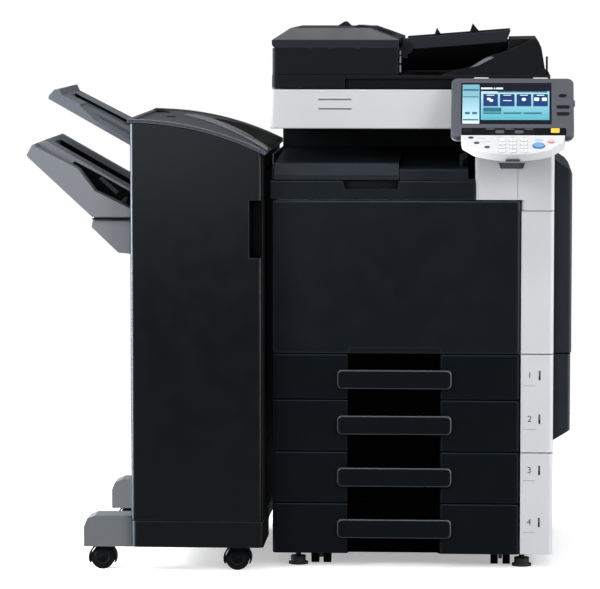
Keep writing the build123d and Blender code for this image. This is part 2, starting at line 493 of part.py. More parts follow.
def bevel_wedge(edge, inward, lift):
    """Y-Z outline of what the sloped band takes off, for a top at COVER_TOP + lift."""
    low, high = COVER_TOP - BEVEL[1] + lift, COVER_TOP + lift
    return [(edge - 2 * inward, low - BEVEL[1] * 2 / BEVEL[0]), (edge + BEVEL[0] * inward, high),
            (edge + BEVEL[0] * inward, high + 9), (edge - 2 * inward, high + 9)]


with BuildPart() as feed_cover_hollow:
    y0, y1 = LID_Y
    inside = [(FEEDER_LEFT + SKIN, FEEDER_Z), (FEEDER_LEFT + SKIN, 1126.4), (-21, COVER_TOP - SKIN),
              (147, COVER_TOP - SKIN), (COVER_RIGHT - SKIN, 1128), (COVER_RIGHT - SKIN, FEEDER_Z)]
    profile_y(inside, y0 + SKIN, y1 - SKIN)
    for edge, inward in ((y0, 1), (y1, -1)):
        profile_x(bevel_wedge(edge, inward, -SKIN), FEEDER_LEFT, COVER_RIGHT, mode=Mode.SUBTRACT)

with BuildPart() as adf_feed_cover:
    with BuildSketch(Plane.XZ.offset(-y0)) as outline:
        with BuildLine():
            Polyline((COVER_AXIS[0], FEEDER_Z + 1), (COVER_RIGHT, FEEDER_Z + 1), (COVER_RIGHT, 1130),
                     (148, COVER_TOP), (-22, COVER_TOP), (FEEDER_LEFT, 1128), (FEEDER_LEFT, COVER_AXIS[1]))
            RadiusArc((FEEDER_LEFT, COVER_AXIS[1]), (COVER_AXIS[0], FEEDER_Z + 1), -9)
        make_face()
    extrude(outline.sketch, amount=-(y1 - y0))
    for edge, inward in ((y0, 1), (y1, -1)):
        profile_x(bevel_wedge(edge, inward, 0), FEEDER_LEFT - 1, COVER_RIGHT + 1, mode=Mode.SUBTRACT)
    add(feed_cover_hollow.part, mode=Mode.SUBTRACT)
    for near, far in ((y0 + 3, y0 + 9), (y1 - 9, y1 - 3)):  # room for the ears
        block(FEEDER_LEFT - 1, COVER_AXIS[0], near, far, FEEDER_Z, COVER_AXIS[1], mode=Mode.SUBTRACT)
    for near, far in ((y0 + 1, y0 + 4), (y1 - 4, y1 - 1)):
        rod_y(COVER_AXIS[0], near, far, COVER_AXIS[1], 2.5 + PIN_CLEARANCE, mode=Mode.SUBTRACT)
    for rib in range(14):  # ribbed grip, arched along X
        x = GRIP_X[0] + 6 * rib
        top = 1157 - 17 * ((x - GRIP_X[0]) / (GRIP_X[1] - GRIP_X[0])) ** 2
        block(x, x + 3, y0 + 145, y0 + 345, top - 12, top)
    profile_y([(60, 1151), (78, 1163), (84, 1163), (97, 1151)], y0 + 395, y0 + 425)  # release lever
finish(adf_feed_cover, "adf_feed_cover")

TRAY_X = (221.0, 438.0)
TRAY_RISE = tan(radians(4.4))


def deck_z(x):
    """Height of the input tray's deck."""
    return 1123.6 + (x - TRAY_X[0]) * TRAY_RISE


with BuildPart() as adf_input_tray:
    profile_y([(TRAY_X[0], 1108), (TRAY_X[1], 1125), (TRAY_X[1] + 9, 1149), (TRAY_X[0], 1131.6)], *TRAY_Y)
    profile_y([(TRAY_X[0] - 1, 1160), (TRAY_X[0] - 1, deck_z(TRAY_X[0] - 1)),
               (TRAY_X[1] + 10, deck_z(TRAY_X[1] + 10)), (TRAY_X[1] + 10, 1160)],
              TRAY_Y[0] + 22, TRAY_Y[1] - 22, mode=Mode.SUBTRACT)
    profile_y([(226, 1100), (226, deck_z(226) - 6), (434, deck_z(434) - 6), (434, 1100)],
              TRAY_Y[0] + 5, TRAY_Y[1] - 5, mode=Mode.SUBTRACT)
    for y0, y1 in ((TRAY_Y[0] + 38, TRAY_Y[0] + 130), (TRAY_Y[1] - 130, TRAY_Y[1] - 38)):
        block(336, 344, y0, y1, 1115, 1145, mode=Mode.SUBTRACT)  # slots for the guides
    for y in TRAY_Y:
        rod_y(TRAY_AXIS[0], y - 5, y + 5, TRAY_AXIS[1], 3 + PIN_CLEARANCE, mode=Mode.SUBTRACT)
finish(adf_input_tray, "adf_input_tray")

GUIDE_LIFT = 0.4
GUIDES = {
    "adf_front_guide": (TRAY_Y[0] + 34, 1, (282, 290, 304, 1154)),
    "adf_rear_guide": (TRAY_Y[1] - 34, -1, (356, 364, 382, 1160)),
}
for name, (edge, inward, (fin0, tip, fin1, tip_z)) in GUIDES.items():
    with BuildPart() as guide:
        plate = [(262, deck_z(262) + GUIDE_LIFT), (420, deck_z(420) + GUIDE_LIFT),
                 (420, deck_z(420) + 3), (262, deck_z(262) + 3)]
        profile_y(plate, *sorted((edge, edge + 34 * inward)))
        fin = [(fin0, deck_z(fin0) + 2), (tip, tip_z), (fin1, deck_z(fin1) + 2)]
        profile_y(fin, *sorted((edge, edge + 4 * inward)))
        peg = sorted((edge + 8 * inward, edge + 20 * inward))
        block(336.5, 343.5, *peg, deck_z(340) - 8, deck_z(340) + 2)
    finish(guide, name)

# ------------------------------------------------------------------ operation panel
keypad_slope = radians(KEY_SLOPE)
keypad_rear_y = (-HALF_DEPTH + KEYPAD_LENGTH * cos(keypad_slope)
                 - KEYPAD_EDGE * (cos(keypad_slope) + sin(keypad_slope) - 1))
keypad_plane = Plane(origin=(KEYPAD_X, keypad_rear_y, KEYPAD_REAR_Z), x_dir=(1, 0, 0),
                     z_dir=(0, -sin(keypad_slope), cos(keypad_slope)))
START_KEY = (53.0, -48.5, 12.5)
STOP_KEY = (79.0, -30.0, 6.5)
NUMBER_COLUMNS = (-22.6, 0.0, 22.6)
NUMBER_ROWS = (-24.0, -41.0, -58.0, -74.0)
WELL_DEPTH = 5.0


def key_places():
    """Centres of the number keys on the keypad plane."""
    return [(x, y) for y in NUMBER_ROWS for x in NUMBER_COLUMNS]


with BuildPart() as keypad_housing:
    with BuildSketch(keypad_plane) as pad:
        with BuildLine():
            Polyline((-80, -62), (-105, -30), (-108, 0), (108, 0), (105, -30), (80, -62))
            ThreePointArc((80, -62), (0, -KEYPAD_LENGTH), (-80, -62))
        make_face()
    extrude(pad.sketch, amount=-KEYPAD_THICK)
    upper_face = keypad_housing.faces().sort_by(Axis((0, 0, 0), keypad_plane.z_dir))[-1]
    fillet(upper_face.edges().sort_by(Axis.Y)[0], KEYPAD_EDGE)
    with BuildSketch(keypad_plane) as wells:
        with Locations(*key_places()):
            RectangleRounded(15, 10.6, 2.5)
        for x, y, radius in (START_KEY, STOP_KEY):
            with Locations((x, y)):
                Circle(radius + 0.4)
    extrude(wells.sketch, amount=-WELL_DEPTH, mode=Mode.SUBTRACT)
    block(340, 565, keypad_rear_y, keypad_rear_y + 10, 900, 940, mode=Mode.SUBTRACT)
    block(385, 520, FACE_Y - 178, FACE_Y, 890, 907)  # neck back to the column
    for x in (KEYPAD_X - 50, KEYPAD_X + 50):  # stands and pins for the display
        block(x + 9, x + 15, PANEL_AXIS[0] - 6, PANEL_AXIS[0] + 6, 906, PANEL_AXIS[1])
        rod_x(x + 9, x + 15, *PANEL_AXIS, 6)
        rod_x(x - 8, x + 15, *PANEL_AXIS, 3)
finish(keypad_housing, "keypad_housing")


def key_cap(place, outline_maker, height=2.0):
    """A key on the keypad plane, standing proud by height, from its outline."""
    with BuildSketch(keypad_plane.offset(KEY_TRAVEL + 0.4 - WELL_DEPTH)) as cap:
        with Locations(*place):
            outline_maker()
    extrude(cap.sketch, amount=WELL_DEPTH + height - KEY_TRAVEL - 0.4)


with BuildPart() as number_keys:
    key_cap(key_places(), lambda: RectangleRounded(14, 9.6, 2))
finish(number_keys, "number_keys")

with BuildPart() as start_key:
    key_cap([START_KEY[:2]], lambda: Circle(START_KEY[2]), 2.6)
    fillet(start_key.edges().filter_by(GeomType.CIRCLE).sort_by(Axis.Z)[-1], 1.2)
finish(start_key, "start_key")

with BuildPart() as stop_key:
    key_cap([STOP_KEY[:2]], lambda: Circle(STOP_KEY[2]), 2.4)
    fillet(stop_key.edges().filter_by(GeomType.CIRCLE).sort_by(Axis.Z)[-1], 1)
finish(stop_key, "stop_key")

lean = radians(PANEL_LEAN)
panel_plane = Plane(origin=PANEL_CENTRE, x_dir=(1, 0, 0), z_dir=(0, -cos(lean), sin(lean)))
SCREEN = (-13.0, 9.0, 189.0, 111.0)  # centre and size on the panel's face
with BuildPart() as display_housing:
    with BuildSketch(panel_plane) as face:
        RectangleRounded(PANEL_SIZE[0], PANEL_SIZE[1], 14)
    extrude(face.sketch, amount=-PANEL_SIZE[2])
    along = Axis((0, 0, 0), panel_plane.z_dir)
    fillet(display_housing.faces().sort_by(along)[-1].edges(), 3)
    fillet(display_housing.faces().sort_by(along)[0].edges(), 6)
    with BuildSketch(panel_plane) as pocket:
        with Locations(SCREEN[:2]):
            Rectangle(*SCREEN[2:])
    extrude(pocket.sketch, amount=-1.6, mode=Mode.SUBTRACT)
    for x in (KEYPAD_X - 50, KEYPAD_X + 50):  # hinge lugs
        ay, az = PANEL_AXIS
        profile_x([(ay - 5, az), (ay - 5, az + 14), (ay + 5, az + 26), (ay + 5, az)], x - 8, x + 8)
        rod_x(x - 8, x + 8, ay, az, 6)
        rod_x(x - 9, x + 9, ay, az, 3 + PIN_CLEARANCE, mode=Mode.SUBTRACT)
    rod_x(PANEL_CENTRE[0] + 120, HALF_WIDTH, PANEL_CENTRE[1] + 22, PANEL_CENTRE[2] + 6, 7)  # dial
finish(display_housing, "display_housing")

with BuildPart() as display_screen:
    with BuildSketch(panel_plane.offset(-1.6)) as glass:
        with Locations(SCREEN[:2]):
            Rectangle(SCREEN[2] - 0.6, SCREEN[3] - 0.6)
    extrude(glass.sketch, amount=1.4)
finish(display_screen, "display_screen")

# ------------------------------------------------------------------ finisher: fixed pieces
ARC_CENTRE_Z = FIN_TOP_Z - FIN_TOP_R
TOP_SKIN = 8.0
COVER_UNDER_R = FIN_TOP_R - TOP_SKIN  # radius of the arched cover's underside
LOWERED_R = FIN_TOP_R - 5.0  # radius of the arched cover between its rims
RIM_WIDTH = 11.0
LEG_X = (-457.0, FIN_LEFT + 10)
LEG_Z = (51.5, 118.0)
LEG_HALF = 35.0
LEG_STEP_Z = 112.0  # the leg passes under the side cover below this height
PANEL_IN = 4.0  # wall of the finisher door
HINGE_POST = (FIN_LEFT + 12, FIN_FRONT + 10)  # X and Y of the finisher door's axis


def arch_z(x, radius):
    """Height of the finisher's arched top at x, for an arc of this radius."""
    return ARC_CENTRE_Z + (radius**2 - (x - FIN_LEFT) ** 2) ** 0.5


def arch(x0, x1, radius):
    """Draws the arched line from x1 back to x0."""
    middle = (x0 + x1) / 2
    ThreePointArc((x1, arch_z(x1, radius)), (middle, arch_z(middle, radius)), (x0, arch_z(x0, radius)))


with BuildPart() as finisher_frame:
    rear = FACE_Y + 528
    block(-345, -85, FACE_Y - 58, FIN_REAR - 10, 60, 66)
    block(-345, -85, rear - 3, rear, 66, 870)
    for x in (-328, -88):
        block(x, x + 3, FACE_Y - 58, rear, 66, 870)
    block(-328, -85, FACE_Y - 58, rear, 500, 503)
    block(-328, -85, FACE_Y - 58, rear, 867, 870)
    for x0, x1, z in ((-329, -324, 800), (-89, -84, 844)):  # paper slots
        block(x0, x1, FACE_Y + 44, FACE_Y + 346, z, z + 24, mode=Mode.SUBTRACT)
    for y in CASTER_Y:  # caster sockets on the right
        x = CASTER_X[1] + TRAIL
        rod_z(x, y, 57, 80, 14)
        rod_z(x, y, 56, 79, 6 + PIN_CLEARANCE, mode=Mode.SUBTRACT)
    block(-348, -325, HINGE_POST[1], FACE_Y - 68, 100, 106)  # door hinge tab
    block(-340, -325, FACE_Y - 69, FACE_Y - 50, 100, 106)
    rod_z(*HINGE_POST, 100, 106, 5)
    rod_z(*HINGE_POST, 106, 116.5, 3)
finish(finisher_frame, "finisher_frame")

with BuildPart() as finisher_side_covers:
    block(FIN_LEFT, FIN_LEFT + 4, FACE_Y - 60, FIN_REAR - 5, FIN_DOOR_Z, 954)
    block(FIN_RIGHT - 4, FIN_RIGHT, FACE_Y - 60, FIN_REAR - 5, FIN_DOOR_Z, 888)
    for z0, z1 in ((930, 946), (812, 836)):  # exits above the trays
        block(FIN_LEFT - 1, FIN_LEFT + 5, FACE_Y + 44, FACE_Y + 346, z0, z1, mode=Mode.SUBTRACT)
    block(FIN_RIGHT - 5, FIN_RIGHT + 1, FACE_Y + 44, FACE_Y + 346, 844, 868, mode=Mode.SUBTRACT)
    for y in (FACE_Y + 90, FACE_Y + 270):  # lift slots
        block(FIN_LEFT - 1, FIN_LEFT + 5, y - 4, y + 4, 275, 748, mode=Mode.SUBTRACT)
finish(finisher_side_covers, "finisher_side_covers")

with BuildPart() as finisher_rear_cover:
    with BuildSketch(Plane.XZ.offset(-(FIN_REAR - 4))) as outline:
        with BuildLine():
            Polyline((FIN_LEFT, arch_z(FIN_LEFT, COVER_UNDER_R)), (FIN_LEFT, 60), (FIN_RIGHT, 60),
                     (FIN_RIGHT, arch_z(FIN_RIGHT, COVER_UNDER_R)))
            arch(FIN_LEFT, FIN_RIGHT, COVER_UNDER_R)
        make_face()
    extrude(outline.sketch, amount=-4)
    block(FIN_LEFT - 1, LEG_X[1] + 1, FIN_REAR - 5, FIN_REAR + 1, 59, FIN_DOOR_Z, mode=Mode.SUBTRACT)
    for row in range(6):
        block(-300, -130, FIN_REAR - 5, FIN_REAR + 1, 180 + 16 * row, 186 + 16 * row,
              mode=Mode.SUBTRACT)
finish(finisher_rear_cover, "finisher_rear_cover")

with BuildPart() as finisher_top_cover:
    x0, x1 = FIN_LEFT - 2, FIN_RIGHT + 7
    with BuildSketch(Plane.XZ.offset(-(FIN_FRONT - 2))) as outline:
        with BuildLine():
            Line((x0, arch_z(x0, FIN_TOP_R)), (x0, arch_z(x0, COVER_UNDER_R)))
            ThreePointArc((x0, arch_z(x0, COVER_UNDER_R)),
                          ((x0 + x1) / 2, arch_z((x0 + x1) / 2, COVER_UNDER_R)),
                          (x1, arch_z(x1, COVER_UNDER_R)))
            Line((x1, arch_z(x1, COVER_UNDER_R)), (x1, arch_z(x1, FIN_TOP_R)))
            arch(x0, x1, FIN_TOP_R)
        make_face()
    extrude(outline.sketch, amount=-(FIN_REAR - FIN_FRONT + 2))
    # the surface lies a little lower between the front, left and rear rims
    inner = x0 + RIM_WIDTH
    with BuildSketch(Plane.XZ.offset(-(FIN_FRONT + RIM_WIDTH))) as lowered:
        with BuildLine():
            Line((inner, arch_z(inner, FIN_TOP_R + 2)), (inner, arch_z(inner, LOWERED_R)))
            ThreePointArc((inner, arch_z(inner, LOWERED_R)),
                          ((inner + x1 + 1) / 2, arch_z((inner + x1 + 1) / 2, LOWERED_R)),
                          (x1 + 1, arch_z(x1 + 1, LOWERED_R)))
            Line((x1 + 1, arch_z(x1 + 1, LOWERED_R)), (x1 + 1, arch_z(x1 + 1, FIN_TOP_R + 2)))
            arch(inner, x1 + 1, FIN_TOP_R + 2)
        make_face()
    extrude(lowered.sketch, amount=-(FIN_REAR - FIN_FRONT - 2 * RIM_WIDTH), mode=Mode.SUBTRACT)
    rod_z(*HINGE_POST, 950.6, FIN_TOP_Z - 6, 3)
finish(finisher_top_cover, "finisher_top_cover")

with BuildPart() as finisher_plinth:
    slab(FIN_LEFT + 3, FIN_RIGHT + 3, FIN_FRONT, FACE_Y + 110, *PLINTH_Z, 12)
    slab(FIN_LEFT + 6, FIN_RIGHT, FIN_FRONT + SKIN, FACE_Y + 107, PLINTH_Z[0] - 1, PLINTH_Z[1] + 1, 9,
         mode=Mode.SUBTRACT)
    block(FIN_LEFT, FIN_LEFT + 12, CASTER_Y[0] - LEG_HALF - 1, FACE_Y + 111,
          PLINTH_Z[0] - 1, PLINTH_Z[1] + 1, mode=Mode.SUBTRACT)
    block(FIN_LEFT, FIN_RIGHT + 4, FACE_Y + 104, FACE_Y + 111, PLINTH_Z[0] - 1, PLINTH_Z[1] + 1,
          mode=Mode.SUBTRACT)
finish(finisher_plinth, "finisher_plinth")

with BuildPart() as finisher_outriggers:
    for y in CASTER_Y:
        leg = [(LEG_X[0], LEG_Z[0]), (LEG_X[1], LEG_Z[0]), (LEG_X[1], LEG_STEP_Z),
               (FIN_LEFT - 1, LEG_STEP_Z), (FIN_LEFT - 1, LEG_Z[1]), (LEG_X[0] + 24, LEG_Z[1]),
               (LEG_X[0] + 7, LEG_Z[1] - 7), (LEG_X[0], LEG_Z[1] - 24)]
        profile_y(leg, y - LEG_HALF, y + LEG_HALF)
        inside = [(LEG_X[0] + 4, LEG_Z[0] - 1), (LEG_X[1] - 4, LEG_Z[0] - 1),
                  (LEG_X[1] - 4, LEG_STEP_Z - 4), (FIN_LEFT - 5, LEG_STEP_Z - 4),
                  (FIN_LEFT - 5, LEG_Z[1] - 4), (LEG_X[0] + 26, LEG_Z[1] - 4), (LEG_X[0] + 10, LEG_Z[1] - 11),
                  (LEG_X[0] + 4, LEG_Z[1] - 26)]
        profile_y(inside, y - LEG_HALF + 4, y + LEG_HALF - 4, mode=Mode.SUBTRACT)
        rod_z(CASTER_X[0] + TRAIL, y, 57, LEG_Z[1] - 3, 14)
        rod_z(CASTER_X[0] + TRAIL, y, 56, 79, 6 + PIN_CLEARANCE, mode=Mode.SUBTRACT)
finish(finisher_outriggers, "finisher_outriggers")

with BuildPart() as stapler_unit:
    block(-290, -140, FACE_Y - 40, FACE_Y + 340, 600, 612)  # guide beam
    block(-250, -180, FACE_Y - 30, FACE_Y + 70, 612, 690)  # head
    block(-251, -210, FACE_Y - 31, FACE_Y + 71, 640, 652, mode=Mode.SUBTRACT)  # throat
    block(-290, -278, FACE_Y - 40, FACE_Y + 340, 503, 601)
    block(-152, -140, FACE_Y - 40, FACE_Y + 340, 503, 601)
finish(stapler_unit, "stapler_unit")

UPPER_Y = (FACE_Y + 60, FACE_Y + 390)
with BuildPart() as upper_exit_tray:
    profile_y([(FIN_LEFT, 894.8), (-543.5, 1001.5), (-541, 1009), (-530, 1020.5), (-519.6, 1022.5),
               (-513, 1009), (FIN_LEFT, 928)], *UPPER_Y)
    cutaway = [(-474, 1012), (-474, 985.3), (-440, 953), (FIN_LEFT + 1, 905), (FIN_LEFT + 1, 1012)]
    profile_y(cutaway, UPPER_Y[0] - 1, UPPER_Y[0] + 115, mode=Mode.SUBTRACT)
    trough = [(-509, 1020), (-509, 995), (FIN_LEFT + 1, 915), (FIN_LEFT + 1, 1020)]
    profile_y(trough, UPPER_Y[0] + 115, UPPER_Y[0] + 210, mode=Mode.SUBTRACT)
finish(upper_exit_tray, "upper_exit_tray")

# ------------------------------------------------------------------ finisher: moving pieces
with BuildPart() as finisher_door:
    left, right = FIN_LEFT + 2, FIN_RIGHT - 0.5
    with BuildSketch(Plane.XZ.offset(-FIN_FRONT)) as outline:
        with BuildLine():
            Polyline((left, arch_z(left, 640)), (left, FIN_DOOR_Z), (right, FIN_DOOR_Z), (right, 671),
                     (right - 26, 671), (right - 26, 793), (right, 793), (right, arch_z(right, 640)))
            arch(left, right, 640)
        make_face()
    extrude(outline.sketch, amount=-24)
    uprights = finisher_door.edges().filter_by(Axis.Z).group_by(Axis.Y)[0].group_by(Axis.X)
    fillet(uprights[0], 10)
    fillet(uprights[-1], 9)
    with BuildSketch(Plane.XZ.offset(-(FIN_FRONT + PANEL_IN))) as hollow:
        add(outline.sketch.moved(Location((0, PANEL_IN, 0))))
        offset(amount=-PANEL_IN, kind=Kind.INTERSECTION)
    extrude(hollow.sketch, amount=-24, mode=Mode.SUBTRACT)
    for z0, z1 in ((FIN_DOOR_Z - 1, FIN_DOOR_Z + PANEL_IN + 1), (948, 958)):
        rod_z(*HINGE_POST, z0, z1, 3 + PIN_CLEARANCE, mode=Mode.SUBTRACT)
finish(finisher_door, "finisher_door")

LOWER_Y = (FACE_Y - 10, FACE_Y + 370)
ROOT_X = FIN_LEFT - 4.5
with BuildPart() as lower_exit_tray:
    profile_y([(ROOT_X, 806), (-549.5, 913.5), (-570, 905), (-HALF_WIDTH, 884), (-579, 879),
               (-442, 752), (ROOT_X, 752)], *LOWER_Y)
    side = [(-577, 940), (-562.6, 901), (-477.6, 857.6), (-470.4, 852), (-436, 806.7), (ROOT_X + 1, 769),
            (ROOT_X + 1, 940)]
    profile_y(side, LOWER_Y[0] - 1, LOWER_Y[0] + 50, mode=Mode.SUBTRACT)
    trough = [(-538, 930), (-538, 894), (ROOT_X + 1, 792), (ROOT_X + 1, 930)]
    profile_y(trough, LOWER_Y[0] + 130, LOWER_Y[0] + 240, mode=Mode.SUBTRACT)
    bracket = [(-438, 753), (-442, 742), (-444, 729.5), (-387, 675.4), (ROOT_X, 672.6), (ROOT_X, 753)]
    profile_y(bracket, LOWER_Y[0] + 8, LOWER_Y[0] + 310)
    block(-450, ROOT_X + 1, LOWER_Y[0] + 7, LOWER_Y[0] + 11, 743, 750, mode=Mode.SUBTRACT)
    for y in (FACE_Y + 90, FACE_Y + 270):  # lift arms through the side cover
        block(ROOT_X - 2, FIN_LEFT + 12, y - 3, y + 3, 690, 735)
        block(FIN_LEFT + 5, FIN_LEFT + 16, y - 14, y + 14, 690, 735)
finish(lower_exit_tray, "lower_exit_tray")

for side, x in zip(("left", "right"), CASTER_X):
    for end, y in zip(("front", "rear"), CASTER_Y):
        with BuildPart() as hood:
            rod_y(x, y - 15, y + 15, TWIN_R, 30)
            rod_y(x, y - 16, y + 16, TWIN_R, 26.8, mode=Mode.SUBTRACT)
            block(x - 31, x + 31, y - 16, y + 16, -6, 14, mode=Mode.SUBTRACT)
            block(x - 9, x + 9, y - 3, y + 3, 15, 53)
            rod_z(x + TRAIL, y, 50, 78, 6)
            rod_y(x, y - 4, y + 4, TWIN_R, 3.5 + PIN_CLEARANCE, mode=Mode.SUBTRACT)
            for wheel_side in (-1, 1):  # keeps the stem's foot out of the wheels
                near, far = sorted((y + wheel_side * 3, y + wheel_side * 16))
                rod_y(x, near, far, TWIN_R, 26.8, mode=Mode.SUBTRACT)
        finish(hood, f"{end}_{side}_caster_hood")

        with BuildPart() as wheels:
            rod_y(x, y - 14, y + 14, TWIN_R, 3.5)
            for wheel_side in (-1, 1):
                rod_y(x, *sorted((y + wheel_side * 4, y + wheel_side * 14.5)), TWIN_R, TWIN_R)
            fillet(wheels.edges().filter_by(GeomType.CIRCLE).filter_by(
                lambda e: e.radius > TWIN_R - 1), 1.5)
        finish(wheels, f"{end}_{side}_caster_wheels")

# ------------------------------------------------------------------ export
os.makedirs("parts", exist_ok=True)
for part in made:
    export_step(part, f"parts/{part.label}.step")
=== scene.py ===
import json
from math import cos, pi, radians, sin

import bmesh
import bpy
from mathutils import Matrix, Vector


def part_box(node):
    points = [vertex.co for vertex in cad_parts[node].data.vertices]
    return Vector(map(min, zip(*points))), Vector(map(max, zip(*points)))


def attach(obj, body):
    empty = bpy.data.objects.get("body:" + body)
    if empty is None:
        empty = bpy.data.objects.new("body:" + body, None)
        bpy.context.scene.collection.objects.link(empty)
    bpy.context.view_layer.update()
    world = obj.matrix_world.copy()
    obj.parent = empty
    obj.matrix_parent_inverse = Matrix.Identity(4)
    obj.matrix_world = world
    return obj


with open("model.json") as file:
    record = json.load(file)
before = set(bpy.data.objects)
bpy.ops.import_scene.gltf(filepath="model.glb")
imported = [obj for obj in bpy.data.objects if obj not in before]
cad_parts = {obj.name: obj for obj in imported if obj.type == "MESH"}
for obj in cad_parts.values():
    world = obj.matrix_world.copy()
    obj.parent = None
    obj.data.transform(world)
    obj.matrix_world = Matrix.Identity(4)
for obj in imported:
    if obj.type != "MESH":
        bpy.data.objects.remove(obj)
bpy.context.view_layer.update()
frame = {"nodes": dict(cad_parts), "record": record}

# An office photocopier with a docked finisher, dressed for a studio picture. The shapes come from the
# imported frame. This script adds materials, fine detail, a floor, lights and a camera.
# Small pieces are drawn in millimetres on local frames, which are placed from the CAD boxes.

scene = bpy.context.scene
MM = 0.001


# ------------------------------------------------------------------ places
def span(node):
    """Ranges of a CAD node along X, Y and Z, in millimetres."""
    low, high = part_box(node)
    return [(low[axis] / MM, high[axis] / MM) for axis in range(3)]


def middle(node):
    """Centre of a CAD node's box, in millimetres."""
    return Vector([(low + high) / 2 for low, high in span(node)])


def place(origin, turn=0.0, axis="X"):
    """A local frame in millimetres, at an origin in millimetres, turned by degrees about one axis."""
    move = Matrix.Translation(Vector(origin) * MM)
    return move @ Matrix.Rotation(radians(turn), 4, axis) @ Matrix.Scale(MM, 4)


ROW = place((0, 0, 0))
FACE_Y = span("front_strips")[1][0]  # plane of the front door and the drawers
REAR_Y = span("rear_cover")[1][1]


# ------------------------------------------------------------------ shader nodes
def new_material(name):
    """A node material, its tree and its Principled shader."""
    material = bpy.data.materials.new(name)
    material.use_nodes = True
    tree = material.node_tree
    return material, tree, tree.nodes["Principled BSDF"]


def node(tree, kind, **settings):
    """A shader node with its properties set."""
    made = tree.nodes.new(kind)
    for key, value in settings.items():
        setattr(made, key, value)
    return made


def noise(tree, scale, detail=2.0, stretch=(1, 1, 1)):
    """Noise over the object's own coordinates, with scale in features per metre."""
    where = node(tree, "ShaderNodeTexCoord")
    squeeze = node(tree, "ShaderNodeMapping")
    squeeze.inputs["Scale"].default_value = stretch
    pattern = node(tree, "ShaderNodeTexNoise")
    pattern.inputs["Scale"].default_value = scale
    pattern.inputs["Detail"].default_value = detail
    tree.links.new(where.outputs["Object"], squeeze.inputs["Vector"])
    tree.links.new(squeeze.outputs["Vector"], pattern.inputs["Vector"])
    return pattern.outputs["Fac"]


def ramp(tree, source, low, high, start=0.35, end=0.65):
    """Maps a value smoothly from one number to another."""
    spread = node(tree, "ShaderNodeMapRange", interpolation_type="SMOOTHSTEP")
    spread.inputs["From Min"].default_value = start
    spread.inputs["From Max"].default_value = end
    spread.inputs["To Min"].default_value = low
    spread.inputs["To Max"].default_value = high
    tree.links.new(source, spread.inputs["Value"])
    return spread.outputs["Result"]


def mix(tree, factor, first, second):
    """Mixes two colours, each an output or a plain colour."""
    blend = node(tree, "ShaderNodeMix", data_type="RGBA")
    tree.links.new(factor, blend.inputs["Factor"])
    for socket, value in ((blend.inputs[6], first), (blend.inputs[7], second)):
        if isinstance(value, bpy.types.NodeSocket):
            tree.links.new(value, socket)
        else:
            socket.default_value = (*value, 1)
    return blend.outputs[2]


EDGE_TURN = (0.88, 0.999)  # cosines between soft and true normals over which an edge fades out
FILLET_TURN = (0.8, 0.985)  # largest share of the normal on one axis over which a fillet fades out


def soft_edges(tree, radius):
    """Surface normals that turn smoothly over sharp edges."""
    soft = node(tree, "ShaderNodeBevel", samples=4)
    soft.inputs["Radius"].default_value = radius
    return soft.outputs["Normal"]


def edge_mask(tree, soft_normal):
    """One along sharp edges and zero elsewhere."""
    flat = node(tree, "ShaderNodeNewGeometry")
    agree = node(tree, "ShaderNodeVectorMath", operation="DOT_PRODUCT")
    tree.links.new(soft_normal, agree.inputs[0])
    tree.links.new(flat.outputs["Normal"], agree.inputs[1])
    return ramp(tree, agree.outputs["Value"], 1, 0, *EDGE_TURN)


def maths(tree, operation, first, second=None):
    """The result of a maths node on one or two outputs."""
    sum_up = node(tree, "ShaderNodeMath", operation=operation)
    tree.links.new(first, sum_up.inputs[0])
    if second is not None:
        tree.links.new(second, sum_up.inputs[1])
    return sum_up.outputs[0]


def object_normal(tree):
    """The surface normal's shares along the object's own X, Y and Z."""
    where = node(tree, "ShaderNodeTexCoord")
    parts = node(tree, "ShaderNodeSeparateXYZ")
    tree.links.new(where.outputs["Normal"], parts.inputs["Vector"])
    return [parts.outputs[axis] for axis in ("X", "Y", "Z")]


def fillet_mask(tree):
    """One where the surface turns away from all three of the object's axes, as on a rounded edge."""
    x, y, z = (maths(tree, "ABSOLUTE", share) for share in object_normal(tree))
    straight = maths(tree, "MAXIMUM", x, maths(tree, "MAXIMUM", y, z))
    return ramp(tree, straight, 1, 0, *FILLET_TURN)


def facing_left(tree):
    """One where the surface turns towards the object's left and zero where it turns right."""
    return ramp(tree, object_normal(tree)[0], 1, 0, -0.2, 0.2)


def open_faces(tree, reach=0.03):
    """One on open faces, falling to zero deep in gaps narrower than the reach, in metres."""
    cover = node(tree, "ShaderNodeAmbientOcclusion", samples=8)
    cover.inputs["Distance"].default_value = reach
    return ramp(tree, cover.outputs["AO"], 0, 1, 0.1, 0.85)


def along(tree, direction):
    """Distance along a direction, over the object's own coordinates, in metres."""
    where = node(tree, "ShaderNodeTexCoord")
    distance = node(tree, "ShaderNodeVectorMath", operation="DOT_PRODUCT")
    distance.inputs[1].default_value = direction
    tree.links.new(where.outputs["Object"], distance.inputs[0])
    return distance.outputs["Value"]


def relief(tree, shader, heights, normal):
    """Stacks bump layers, given as (height, distance in metres), on the given normals."""
    for height, distance in heights:
        bump = node(tree, "ShaderNodeBump")
        bump.inputs["Distance"].default_value = distance
        tree.links.new(height, bump.inputs["Height"])
        tree.links.new(normal, bump.inputs["Normal"])
        normal = bump.outputs["Normal"]
    tree.links.new(normal, shader.inputs["Normal"])


def scaled(colour, factor):
    """A colour made lighter or darker."""
    return tuple(min(1.0, channel * factor) for channel in colour)


